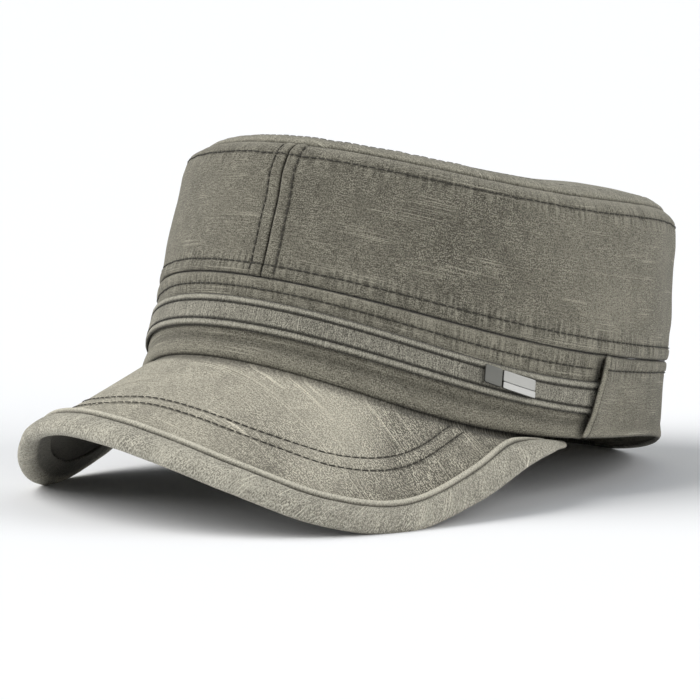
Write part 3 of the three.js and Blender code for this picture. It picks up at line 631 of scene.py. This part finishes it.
# The fold's edge is paler, as wear and painted highlight, and a painted shade runs beside it.
wear_and_highlight = wear_and_highlight + 0.7 * bump_at(from_fold, 0.5, 0.5)
shade = np.maximum(shade, 0.9 * bump_at(from_fold, 2.0, 0.4))
points = crown_offset(up, turn, rear_out(up, from_fold, height))
lay_cloth(rear, settled(points), round_length(turn), up, wear_and_highlight, shade, pucker, 1.12)
finish_cloth(rear, CLOTH)
rear.data.materials.append(canvas)
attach(rear, "root")
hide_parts("band_rear")

# The strap
# A flat strip of canvas folded in at both edges, sewn round the front of the band close to each fold. Its
# ends go under the rear band's folded edges.

STRAP_TUCK = 1.4 * DEGREE
STRAP_STITCH = 2.5 * MM
STRAP_SINK = 0.35 * MM
STRAP_DIP = 0.5 * MM

strap, across, rise = cut_cloth("strap_cloth", 320, 40)
up = STRAP_UP + STRAP_WIDTH * rise
first, last = side_seam(-1, up) - STRAP_TUCK, side_seam(1, up) + STRAP_TUCK
turn = first + (last - first) * across
along = round_length(turn)
from_edge = np.minimum(rise, 1 - rise) * STRAP_WIDTH
pull = ripple(along, 3.4 * MM, 83) * 0.5 + ripple(along, 6.1 * MM, 89) * 0.5
height = (SEAM_RIDGE * 0.55 * np.tanh(from_edge / (0.5 * MM)) - STRAP_SINK
          + 0.12 * MM * pull * bump_at(from_edge, 1.4 * MM, 1.4 * MM)
          - STRAP_DIP * bump_at(from_edge, STRAP_STITCH, 0.4 * MM)
          - STRAP_DIP * bump_at(from_edge, 0, 0.35 * MM))
# Paler by the folded edges, as wear and painted highlight, and darker in the stitch grooves and at the edges,
# as painted shade.
wear_and_highlight = (0.75 * bump_at(from_edge, 1.2 * MM, 0.6 * MM)
        + 0.35 * np.clip(pull, 0, 1) * bump_at(from_edge, 1.6 * MM, 1.5 * MM))
shade = np.maximum(bump_at(from_edge, STRAP_STITCH, 0.5 * MM), bump_at(from_edge, 0, 0.5 * MM))
pucker = 0.5 * bump_at(from_edge, 1.5 * MM, 1.6 * MM)
points = crown_offset(up, turn, GAP + STRAP_CLOTH + height)
lay_cloth(strap, settled(points), up, along, wear_and_highlight, shade, pucker)
finish_cloth(strap, STRAP_CLOTH * 0.7)
canvas_strap = cotton("washed_canvas_strap", (0.045, 0.041, 0.032), (0.41, 0.39, 0.32),
                      slub_length=60.0, pucker_turn=math.pi / 2)
strap.data.materials.append(canvas_strap)
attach(strap, "root")
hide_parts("strap")

# The peak
# A stiffener between two layers of canvas, curved over the forehead and sewn under the hem. The upper layer
# is paler canvas; the lower one is darker, as painted shade under the peak. Two close rows of stitches
# follow its edge.

PEAK_SPREAD = 20 * MM
PEAK_REACH = 60 * MM
PEAK_DROP = 40 * MM
PEAK_CLOTH = 2 * MM
SEAT_CLEARANCE = 0.35 * MM
TUCK_DROP = 1.3 * MM
TUCK_DEPTH = 12 * MM
EDGE_MARGIN = 0.4 * MM
ROW_DIP = 0.5 * MM
ROW_SINK = 0.36 * MM
HEM_TURN_IN = 3.4 * MM
HEM_TURN_UP = 3 * MM

# The outer edge from the wearer's right to the left, measured from the hem at the turn hem, in degrees.
# aside, ahead and drop are shares of PEAK_SPREAD, PEAK_REACH and PEAK_DROP.
PEAK_EDGE = table(
    "hem aside ahead drop",
    (-76, 0.2, 0.00928, 0.0674),
    (-68, -0.137, -0.00351, 0.0994),
    (-59, -0.474, -0.0273, 0.219),
    (-49, -0.815, 0.00507, 0.551),
    (-38, -0.991, 0.26, 0.938),
    (-28, -0.89, 0.526, 0.956),
    (-19, -0.53, 0.726, 0.789),
    (-10, -0.119, 0.814, 0.748),
    (0, 0.11, 0.82, 0.789),
    (10, 0.37, 0.862, 0.859),
    (20, 0.763, 0.867, 0.953),
    (28, 1.26, 0.707, 1.05),
    (35, 1.45, 0.403, 0.98),
    (46, 1.11, 0.107, 0.579),
    (58, 0.66, -0.0219, 0.198),
    (68, 0.304, -0.0278, 0.0771),
    (78, -0.253, -0.0556, 0.0552),
)
edge_hem = np.array([row["hem"] for row in PEAK_EDGE]) * DEGREE
edge_knots = wall_point(np.zeros(len(PEAK_EDGE)), edge_hem) + np.array([
    (row["aside"] * PEAK_SPREAD, -row["ahead"] * PEAK_REACH, -row["drop"] * PEAK_DROP) for row in PEAK_EDGE])


def peak_edge(share):
    """The peak's outer edge, a centripetal curve through its knots."""
    before_first = 2 * edge_knots[0] - edge_knots[1]
    past_last = 2 * edge_knots[-1] - edge_knots[-2]
    knots = np.concatenate([[before_first], edge_knots, [past_last]])
    place = np.clip(share, 0, 1) * (len(edge_knots) - 1)
    i = np.minimum(np.floor(place).astype(int), len(edge_knots) - 2)
    t = (place - i)[..., None]
    a, b, c, d = (knots[i + k] for k in range(4))
    before, between, after = (np.linalg.norm(q - p, axis=-1, keepdims=True) ** 0.5
                              for p, q in ((a, b), (b, c), (c, d)))
    start = ((b - a) / before - (c - a) / (before + between) + (c - b) / between) * between
    end = ((c - b) / between - (d - b) / (between + after) + (d - c) / after) * between
    return b + start * t + (3 * (c - b) - 2 * start - end) * t ** 2 + (2 * (b - c) + start + end) * t ** 3


def peak_seat(share):
    """Where the peak's middle face meets the hem."""
    share = np.clip(share, 0, 1)
    hem_turn = np.interp(share * (len(PEAK_EDGE) - 1), np.arange(len(PEAK_EDGE)), edge_hem)
    seat = wall_point(np.zeros_like(hem_turn), hem_turn)
    sideways = np.abs(2 * share - 1)
    inwards = -seat * np.array([1, 1, 0])
    inwards = inwards / np.linalg.norm(inwards, axis=-1, keepdims=True)
    seat = seat + inwards * (smooth_step(sideways, 0.76, 1) * TUCK_DEPTH)[..., None]
    seat[..., 2] -= SEAT_CLEARANCE + PEAK_CLOTH / 2 + smooth_step(sideways, 0.55, 0.8) * TUCK_DROP
    return seat


def peak_width(share):
    """From the peak's edge to its seat under the hem."""
    return np.linalg.norm(peak_seat(share) - peak_edge(share), axis=-1)


def peak_point(inward, share):
    """The peak's middle face, from its edge towards the hem."""
    t = (inward / peak_width(share))[..., None]
    return peak_edge(share) * (1 - t) + peak_seat(share) * t


def peak_offset(inward, share, out):
    """A point that stands out from the peak's middle face, or below it if out is less than 0."""
    inward, share = np.broadcast_arrays(np.asarray(inward, float), np.asarray(share, float))
    normal = outward(peak_point, inward, share, 1 * MM, 0.01)
    return peak_point(inward, share) + normal * np.asarray(out)[..., None]


# The two rows of stitches: how far in from the peak's edge, in millimetres
ROWS = table(
    "share outer inner",
    (0.15, 24, 29),
    (0.3, 21.5, 26.5),
    (0.43, 17.2, 22),
    (0.5, 23.2, 27.4),
    (0.59, 25.4, 30),
    (0.73, 25.2, 31.2),
    (0.87, 22.5, 27),
)


def row_at(share, which):
    """How far in from the peak's edge a row of stitches lies."""
    return through(share, ROWS, "share", which) * MM


def peak_face(name, side):
    """The peak's upper or lower cloth."""
    piece, across, rise = cut_cloth(name, 300, 84 if side > 0 else 40)
    width = peak_width(across)
    inward = EDGE_MARGIN + (width - EDGE_MARGIN) * rise
    outer, inner = row_at(across, "outer"), row_at(across, "inner")
    rows = bump_at(inward, outer, 0.5 * MM) + bump_at(inward, inner, 0.5 * MM)
    swell = bump_at(inward, (outer + inner) / 2, 2 * MM) * 0.25 * MM
    spot = peak_point(inward, across)
    soft = (ripple(spot[:, 0] + 0.3 * spot[:, 1], 23 * MM, 97) * 0.22 * MM
            + ripple(spot[:, 1], 19 * MM, 101) * 0.15 * MM)
    height = soft * smooth_step(inward, 8 * MM, 14 * MM) + swell - ROW_DIP * rows
    points = peak_offset(inward, across, side * (PEAK_CLOTH / 2 + height * 0.8))
    # Painted light and shade: lighter towards the wearer's right, darker towards the wearer's left.
    tone_and_painted_light = (0.96 - 0.6 * smooth_step(spot[:, 0], 20 * MM, 65 * MM)
            + 0.25 * smooth_step(-spot[:, 0], 0, 50 * MM))
    # The cloth's end turns in under the hem, and the upper cloth's end also turns up inside it
    seat_in = np.clip((rise - 0.96) / 0.04, 0, 1)
    from_axis = np.linalg.norm(points[:, :2], axis=1)[:, None]
    points = points - np.array([1, 1, 0]) * points / from_axis * (HEM_TURN_IN * seat_in)[:, None]
    points[:, 2] += HEM_TURN_UP * seat_in ** 3 * (side > 0)
    # Paler on the soft swells, as painted highlight; darker in the stitch rows and where the hem shadows the
    # peak, as painted shade.
    wear_and_highlight = soft / (0.6 * MM) + 0.15
    shade = np.maximum(rows * 0.5, 0.95 * bump_at(width - inward, 0, 2.6 * MM))
    lay_cloth(piece, settled(points), spot[:, 0], spot[:, 1], wear_and_highlight, shade, 0, tone_and_painted_light)
    finish_cloth(piece, PEAK_CLOTH * 0.45, turn_over=side < 0)
    return piece


canvas_peak = cotton("washed_canvas_peak", (0.13, 0.119, 0.092), (0.6, 0.563, 0.457),
                     slub_length=14.0, slubs=1.0)
# A darker copy of the canvas for the underside: painted shade.
canvas_under_painted_shade = cotton("washed_canvas_under_painted_shade", (0.05, 0.046, 0.036), (0.14, 0.13, 0.105), slubs=0.2)
peak_top = peak_face("peak_upper_cloth", 1)
peak_under = peak_face("peak_under_cloth", -1)
for face, face_cloth in ((peak_top, canvas_peak), (peak_under, canvas_under_painted_shade)):
    face.data.materials.append(face_cloth)
    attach(face, "root")
    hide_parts("peak")

# The binding
# A bias strip of the same canvas folded round the peak's edge. Its inner edge stands up as a narrow ridge
# beside a deep row of stitches, and outside them it rolls over the edge.

BINDING_WIDTH = 9.2 * MM
BINDING_CLOTH = 0.9 * MM
BINDING_NOSE = 1.6 * MM
SLOT = PEAK_CLOTH / 2 + 0.45 * MM
# Where the top of the grid ends, as a share of its rows. The under side takes as many, the nose the rest.
TOP_END = 0.46
THIN_UNDER = 0.72
# Its section from the inner edge to the nose: inward is a share of its width, height of its cloth
BINDING_SECTION = table(
    "round inward height",
    (0, 1.0, -0.5),
    (0.03, 1.0, 0.6),
    (0.08, 0.965, 1.5),
    (0.13, 0.9, 1.6),
    (0.17, 0.85, 1.0),
    (0.21, 0.8, -0.1),
    (0.25, 0.74, 0.5),
    (0.33, 0.56, 1.3),
    (0.42, 0.34, 1.45),
    (0.5, 0.12, 1.3),
)


def binding_profile(around):
    """Inward and outward place on the binding's section. Its rows run on, mirrored, past the nose, so that
    the curve is level there."""
    rows = BINDING_SECTION + [dict(round=1 - row["round"], inward=row["inward"], height=row["height"])
                              for row in reversed(BINDING_SECTION[:-1])]
    inward = through(around, rows, "round", "inward") * BINDING_WIDTH
    height = through(around, rows, "round", "height") * BINDING_CLOTH + SLOT
    return inward, height


def towards_ends(share, start, end):
    """Rises softly from 0 to 1 towards both ends of the peak's edge."""
    return smooth_step(np.abs(2 * share - 1), start, end)


def binding_narrowed(share):
    """The binding's width, as a share. It is pressed narrower towards the side seams."""
    return 1 - 0.4 * towards_ends(share, 0.7, 0.9)


def binding_pressed(share):
    """The binding's height, as a share. It is pressed flatter there too."""
    return 1 - 0.25 * towards_ends(share, 0.7, 0.9)


def binding_tail(share):
    """Its height once more, which falls to half at the tails."""
    return 1 - 0.5 * towards_ends(share, 0.84, 0.97)


strip, share, around = cut_cloth("binding_cloth", 360, 64)
top_share = np.clip(around / TOP_END, 0, 1)
under_share = np.clip((1 - around) / TOP_END, 0, 1)
on_top = around <= TOP_END
under = around >= 1 - TOP_END
narrowed = binding_narrowed(share)
flat_share = np.where(on_top, top_share, under_share) * 0.5
inward, height = binding_profile(flat_share)
angle = np.pi / 2 - np.clip((around - TOP_END) / (1 - 2 * TOP_END), 0, 1) * np.pi
nose_high = BINDING_CLOTH * 1.3 + SLOT
nose_in = 0.12 * BINDING_WIDTH
in_nose = nose_in - (nose_in + GAP + BINDING_NOSE) * np.cos(angle)
out_nose = nose_high * np.sin(angle)
inward = np.where(on_top | under, inward, in_nose) * narrowed
smooth_under = SLOT + BINDING_CLOTH * (0.5 + 0.8 * smooth_step(under_share, 0.6, 1))
height = np.where(on_top, height, np.where(under, -smooth_under, out_nose)) * binding_pressed(share)
height = np.where(height < 0, height * THIN_UNDER, height) * binding_tail(share)
edge_share = np.linspace(0, 1, 401)
along = np.interp(share, edge_share, arc_length(peak_edge(edge_share)))
pull = ripple(along + inward, 4.2 * MM, 103) * 0.5 + ripple(along - inward, 7.5 * MM, 107) * 0.5
puff = 0.16 * MM * pull * bump_at(np.abs(inward), 4.5 * MM, 3.5 * MM)
points = peak_offset(inward, share, height + np.sign(height) * puff)
# Painted shade in the stitch groove, at the inner edge and on the underside; the ridge is paler, as wear and
# painted highlight.
groove_shade = 1.2 * bump_at(inward, 0.815 * BINDING_WIDTH * narrowed, 0.5 * MM) * on_top
wear_and_highlight = (0.9 * bump_at(inward, 0.92 * BINDING_WIDTH * narrowed, 0.6 * MM) * on_top
        + 0.3 * np.clip(pull, 0, 1) + 0.1)
section_length = np.interp(around, [0, TOP_END, 1 - TOP_END, 1], [0, 9 * MM, 15 * MM, 24 * MM])
shade = np.maximum(groove_shade, bump_at(around, 0, 0.022))
shade = np.maximum(shade, 0.8 * smooth_step(around, 0.56, 0.64))
pucker = 0.3 * bump_at(inward, 5.2 * MM, 2 * MM)
lay_cloth(strip, settled(points), along, section_length, wear_and_highlight, shade, pucker)
finish_cloth(strip, BINDING_CLOTH * 0.6)
canvas_bias = cotton("washed_canvas_bias", (0.1, 0.093, 0.074), (0.58, 0.55, 0.455),
                     slub_turn=-0.9, slub_length=60.0)
strip.data.materials.append(canvas_bias)
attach(strip, "root")
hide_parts("peak_binding")

# The stitches
# Dark olive cotton thread, in lockstitch rows sunk into the cloth along every seam. Each stitch is a short
# rounded bar, modelled once and copied along its row.

STITCH_LENGTH = 2.15 * MM
STITCH_STEP = 2.85 * MM
THREAD_WIDTH = 0.5 * MM
THREAD_HEIGHT = 0.4 * MM
# How far a thread's middle stands over its groove, and how far out the line that shows its tilt lies
THREAD_LIFT = 0.4 * MM
TILT_LINE = 1 * MM

bpy.ops.object.select_all(action="DESELECT")
bpy.ops.mesh.primitive_cylinder_add(vertices=6, radius=0.5, depth=1, end_fill_type="NGON",
                                    rotation=(0, math.pi / 2, 0))
stitch = bpy.context.object
bpy.ops.object.transform_apply(rotation=True)
bpy.ops.object.mode_set(mode="EDIT")
bpy.ops.mesh.select_all(action="SELECT")
bpy.ops.mesh.bevel(offset=0.16, segments=1)
bpy.ops.mesh.quads_convert_to_tris()
bpy.ops.object.mode_set(mode="OBJECT")
stitch_points = np.array([v.co[:] for v in stitch.data.vertices])
stitch_faces = np.array([f.vertices[:] for f in stitch.data.polygons])
bpy.data.objects.remove(stitch)

thread = bpy.data.materials.new("olive_thread")
thread.use_nodes = True
thread_shader = thread.node_tree.nodes["Principled BSDF"]
thread_shader.inputs["Roughness"].default_value = 0.75
thread_ply = add_node(thread.node_tree.nodes, "TexNoise", Scale=900)
thread_ramp = add_node(thread.node_tree.nodes, "ValToRGB")
thread_ramp.color_ramp.elements[0].color = (0.02, 0.018, 0.012, 1)
thread_ramp.color_ramp.elements[1].color = (0.05, 0.046, 0.036, 1)
thread_place = add_node(thread.node_tree.nodes, "TexCoord")
thread.node_tree.links.new(thread_place.outputs["Object"], thread_ply.inputs["Vector"])
thread.node_tree.links.new(thread_ply.outputs["Fac"], thread_ramp.inputs["Fac"])
thread.node_tree.links.new(thread_ramp.outputs["Color"], thread_shader.inputs["Base Color"])


def sew(name, line, raised):
    """Sets stitches along a line of points. raised is the same line a little further out of the cloth."""
    length = arc_length(line)
    starts = np.arange(0.4 * STITCH_STEP, length[-1] - STITCH_LENGTH, STITCH_STEP)

    def at(places, of):
        return np.stack([np.interp(places, length, of[:, k]) for k in range(3)], -1)

    tail, head = at(starts, line), at(starts + STITCH_LENGTH, line)
    up = at(starts + STITCH_LENGTH / 2, raised) - (tail + head) / 2
    forward = head - tail
    size = np.linalg.norm(forward, axis=1, keepdims=True)
    forward = forward / size
    aside = np.cross(up, forward)
    aside = aside / np.linalg.norm(aside, axis=1, keepdims=True)
    up = np.cross(forward, aside)
    centre = (tail + head) / 2
    points = (centre[:, None] + stitch_points[None, :, 0:1] * (forward * size)[:, None]
              + stitch_points[None, :, 1:2] * (aside * THREAD_WIDTH)[:, None]
              + stitch_points[None, :, 2:3] * (up * THREAD_HEIGHT)[:, None])
    faces = stitch_faces[None] + (np.arange(len(starts)) * len(stitch_points))[:, None, None]
    mesh = bpy.data.meshes.new(name)
    mesh.from_pydata(points.reshape(-1, 3), [], faces.reshape(-1, 3).tolist())
    row = bpy.data.objects.new(name, mesh)
    bpy.context.collection.objects.link(row)
    mesh.materials.append(thread)
    mesh.shade_smooth()
    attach(row, "root")


def sew_crown(name, up, turn, out):
    """Sews a row round the crown or the band. out is how far the cloth stands out there."""
    line = settled(crown_offset(up, turn, out + THREAD_LIFT))
    raised = settled(crown_offset(up, turn, out + THREAD_LIFT + TILT_LINE))
    sew(name, line, raised)


def sew_crown_seam(name, up, turn):
    """Sews a row along a seam of the crown's walls."""
    up, turn = np.broadcast_arrays(up, turn)
    sew_crown(name, up, turn, crown_relief(up, turn)[0])


everywhere = np.linspace(-179.4, 179.4, 1400) * DEGREE
sew_crown_seam("stitches_lower_seam", BAND_HEIGHT + SEAM_STITCH, everywhere)
sew_crown_seam("stitches_upper_seam", TOP_SEAM_UP - SEAM_STITCH, everywhere)
panel_along = round_length(everywhere % (2 * np.pi))
panel_out = seam_relief(PANEL_STITCH, panel_along, PANEL_STITCH, PANEL_PULL, PANEL_SEED)[0]
sew_crown("stitches_top_panel", TOP_SEAM_UP + PANEL_STITCH, everywhere, panel_out)
climb = np.linspace(BAND_HEIGHT + 1 * MM, TOP_SEAM_UP - 1 * MM, 120)
for label, side in (("left", 1), ("right", -1)):
    ahead = np.interp(round_length(FRONT_SEAM_TURN) + side * SEAM_STITCH, level_length, level)
    sew_crown_seam(f"stitches_front_{label}", climb, ahead)
    behind = np.interp(round_length(180 * DEGREE * side) - side * SEAM_STITCH, level_length, level)
    sew_crown_seam(f"stitches_back_{label}", climb, behind)

below = BAND_HEIGHT - SEAM_STITCH
seam_right, seam_left = 2 * np.pi + side_seam(-1, below), side_seam(1, below)
front_turn = np.linspace(-1, 1, 900) * (seam_left - 0.8 * DEGREE)
sew_crown("stitches_band_front", below, front_turn, band_relief(below, front_turn, 0)[0])
rear_turn = np.linspace(seam_left + 0.2 * DEGREE, seam_right - 0.2 * DEGREE, 900)
rear_fold = np.minimum(rear_turn - seam_left, seam_right - rear_turn) / DEGREE
rear_row = rear_out(below, rear_fold, band_relief(below, rear_turn, 0)[0])
sew_crown("stitches_band_rear", below, rear_turn, rear_row)
groove_out = GAP + STRAP_CLOTH + SEAM_RIDGE * 0.55 - STRAP_SINK - STRAP_DIP
for label, up_here in (("low", STRAP_UP + STRAP_STITCH), ("high", STRAP_UP + STRAP_WIDTH - STRAP_STITCH)):
    strap_turn = np.linspace(-1, 1, 900) * (side_seam(1, up_here) + 0.8 * DEGREE)
    sew_crown(f"stitches_strap_{label}", up_here, strap_turn, groove_out)


def sew_peak(name, inward, shares, out):
    """Sews a row along the peak. out is how far the cloth stands out there."""
    line = settled(peak_offset(inward, shares, out + THREAD_LIFT))
    raised = settled(peak_offset(inward, shares, out + THREAD_LIFT + TILT_LINE))
    sew(name, line, raised)


for which in ("outer", "inner"):
    row_shares = np.linspace(0.12, 0.88, 900)
    row_shares = row_shares[row_at(row_shares, which) < peak_width(row_shares) - 1 * MM]
    sew_peak(f"stitches_peak_{which}", row_at(row_shares, which), row_shares, PEAK_CLOTH / 2 - ROW_SINK)
binding_shares = np.linspace(0.03, 0.97, 900)
binding_in = 0.8 * BINDING_WIDTH * binding_narrowed(binding_shares)
binding_out = (SLOT + 0.35 * BINDING_CLOTH) * binding_pressed(binding_shares) * binding_tail(binding_shares)
sew_peak("stitches_binding", binding_in, binding_shares, binding_out)

# The badge
# Two small bare metal plates bent to the strap's curve: a matte square and a longer brushed bar whose lower
# strip is polished. Their edges are bevelled.

BADGE_TURN = 59.6 * DEGREE
BADGE_UP = 15.3 * MM
BADGE_LENGTH = 18.6 * MM
BADGE_HEIGHT = 6.2 * MM
BADGE_SQUARE = 6 * MM
BADGE_SPLIT = 0.5 * MM
BADGE_METAL = 0.9 * MM
BADGE_SLOPE = -0.08
BADGE_BASE = GAP + STRAP_CLOTH + SEAM_RIDGE + GAP
# The polished strip's share of the bar's height, the step over it, and how much the corners are rounded
STRIP_SHARE = 0.36
STRIP_STEP = 0.12 * MM
ROUNDED = 0.05


def badge_plate(name, start, end, low, high, proud):
    """A bent plate, from one place to another along the badge and up it."""
    piece, across, rise = cut_cloth(name, 24, 8)
    side_x, side_y = 2 * across - 1, 2 * rise - 1
    across = (side_x * (1 - ROUNDED * side_y ** 8 * BADGE_HEIGHT / (end - start)) + 1) / 2
    rise = (side_y * (1 - ROUNDED * side_x ** 8) + 1) / 2
    along = start + (end - start) * across
    height = low + (high - low) * rise
    middle = wall_point(np.array([BADGE_UP]), np.array([BADGE_TURN]))[0]
    turn = BADGE_TURN + (along - BADGE_LENGTH / 2) / np.hypot(middle[0], middle[1])
    up = BADGE_UP + height + (along - BADGE_LENGTH / 2) * BADGE_SLOPE
    points = settled(crown_offset(up, turn, np.full(len(up), BADGE_BASE + BADGE_METAL + proud)))
    lay_cloth(piece, points, along, height, 0, 0, 0)
    finish_cloth(piece, BADGE_METAL + proud)
    edge = piece.modifiers.new("edge", "BEVEL")
    edge.width = 0.12 * MM
    edge.segments = 3
    edge.limit_method = "ANGLE"
    edge.angle_limit = 50 * DEGREE
    bpy.ops.object.modifier_apply(modifier=edge.name)
    bpy.ops.object.shade_smooth_by_angle(angle=35 * DEGREE)
    return piece


def metal(name, colour, rough, grain):
    """Brushed plated metal with fine lines along it."""
    material = bpy.data.materials.new(name)
    material.use_nodes = True
    nodes, links = material.node_tree.nodes, material.node_tree.links
    shader = nodes["Principled BSDF"]
    shader.inputs["Base Color"].default_value = (*colour, 1)
    shader.inputs["Metallic"].default_value = 1
    plate_map = add_node(nodes, "UVMap")
    plate_map.uv_map = "UVMap"
    mapping = add_node(nodes, "Mapping", Scale=(300, 6000, 1))
    lines = add_node(nodes, "TexNoise", Scale=1, Detail=3)
    spread = add_node(nodes, "MapRange", To_Min=rough - grain, To_Max=rough + grain)
    bump = add_node(nodes, "Bump", Strength=0.15, Distance=0.0001)
    links.new(plate_map.outputs["UV"], mapping.inputs["Vector"])
    links.new(mapping.outputs["Vector"], lines.inputs["Vector"])
    links.new(lines.outputs["Fac"], spread.inputs["Value"])
    links.new(spread.outputs["Result"], shader.inputs["Roughness"])
    links.new(lines.outputs["Fac"], bump.inputs["Height"])
    links.new(bump.outputs["Normal"], shader.inputs["Normal"])
    return material


matte_metal = metal("matte_plate", (0.13, 0.13, 0.12), 0.5, 0.1)
satin_metal = metal("satin_plate", (0.27, 0.27, 0.26), 0.4, 0.12)
bright_metal = metal("polished_plate", (0.34, 0.34, 0.33), 0.42, 0.08)
half = BADGE_HEIGHT / 2
step_up = -half + STRIP_SHARE * BADGE_HEIGHT
# Name, start and end along the badge, low and high, how proud it is, metal, slot and the solid it replaces
BADGE_PARTS = [
    ("badge_matte_square", 0, BADGE_SQUARE, -half, half, 0, matte_metal, "badge_matte", ["badge_square"]),
    ("badge_satin_bar", BADGE_SQUARE + BADGE_SPLIT, BADGE_LENGTH, step_up + STRIP_STEP, half, -0.2 * MM,
     satin_metal, "badge_bright", ["badge_bar"]),
    ("badge_polished_strip", BADGE_SQUARE + BADGE_SPLIT, BADGE_LENGTH, -half, step_up, 0.05 * MM,
     bright_metal, "badge_bright", ["badge_bar"]),
]
for name, start, end, low, high, proud, finish, slot_name, stands_for in BADGE_PARTS:
    plate = badge_plate(name, start, end, low, high, proud)
    plate.data.materials.append(finish)
    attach(plate, "root")
    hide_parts(*stands_for)

# The studio
# A plain white floor, a pale surround, a very wide soft light from above on the image's left and a weaker one
# on the right, as in a catalogue photograph.

FLOOR_SIZE = 80
LIGHT_SPREAD = 60 * DEGREE

bpy.ops.object.select_all(action="DESELECT")
bpy.ops.mesh.primitive_plane_add(size=FLOOR_SIZE)
floor = bpy.context.object
floor.name = "floor"
paper = bpy.data.materials.new("paper")
paper.use_nodes = True
paper_shader = paper.node_tree.nodes["Principled BSDF"]
paper_shader.inputs["Base Color"].default_value = (0.95, 0.955, 0.97, 1)
paper_shader.inputs["Roughness"].default_value = 0.95
floor.data.materials.append(paper)

bpy.context.scene.view_settings.view_transform = "Standard"
world = bpy.data.worlds.new("studio")
bpy.context.scene.world = world
world.use_nodes = True
surround = world.node_tree.nodes["Background"]
surround.inputs["Color"].default_value = (0.88, 0.94, 1, 1)
surround.inputs["Strength"].default_value = 0.34


def soft_light(name, shines_from, energy):
    """A wide far light. shines_from is the direction it comes from."""
    lamp = bpy.data.lights.new(name, "SUN")
    lamp.energy = energy
    lamp.angle = LIGHT_SPREAD
    lamp.color = (1, 0.985, 0.96)
    holder = bpy.data.objects.new(name, lamp)
    bpy.context.collection.objects.link(holder)
    x, y, z = shines_from
    holder.rotation_euler = (math.acos(z / math.hypot(x, y, z)), 0, math.atan2(y, x) + math.pi / 2)


soft_light("softbox_left", (-0.85, -0.8, 1.1), 2.7)
soft_light("softbox_right", (1, 0.3, 0.4), 1.6)

# The camera
# Placed as the photograph's was, low and ahead on the wearer's left.

AZIMUTH = 38.52 * DEGREE
ELEVATION = 6.08 * DEGREE
DISTANCE = 1434.6 * MM
FOCAL_PIXELS = 4203.9
IMAGE_PIXELS = 700
SENSOR_WIDTH = 36
RIGHT_OFFSET = -18.12 * MM
UP_OFFSET = 22.54 * MM
FLOOR_BELOW = 19.5 * MM

away = np.array([math.sin(AZIMUTH) * math.cos(ELEVATION),
                 -math.cos(AZIMUTH) * math.cos(ELEVATION),
                 math.sin(ELEVATION)])
rightwards = np.array([math.cos(AZIMUTH), math.sin(AZIMUTH), 0])
upwards = np.cross(away, rightwards)
stand = rightwards * RIGHT_OFFSET + upwards * UP_OFFSET + away * DISTANCE
stand = stand + np.array([-CENTRE_X, -CENTRE_Y, FLOOR_BELOW])
eye = bpy.data.cameras.new("eye")
eye.sensor_width = SENSOR_WIDTH
eye.lens = FOCAL_PIXELS * SENSOR_WIDTH / IMAGE_PIXELS
camera = bpy.data.objects.new("eye", eye)
bpy.context.collection.objects.link(camera)
camera.location = stand
camera.rotation_euler = (math.pi / 2 - ELEVATION, 0, AZIMUTH)
bpy.context.scene.camera = camera
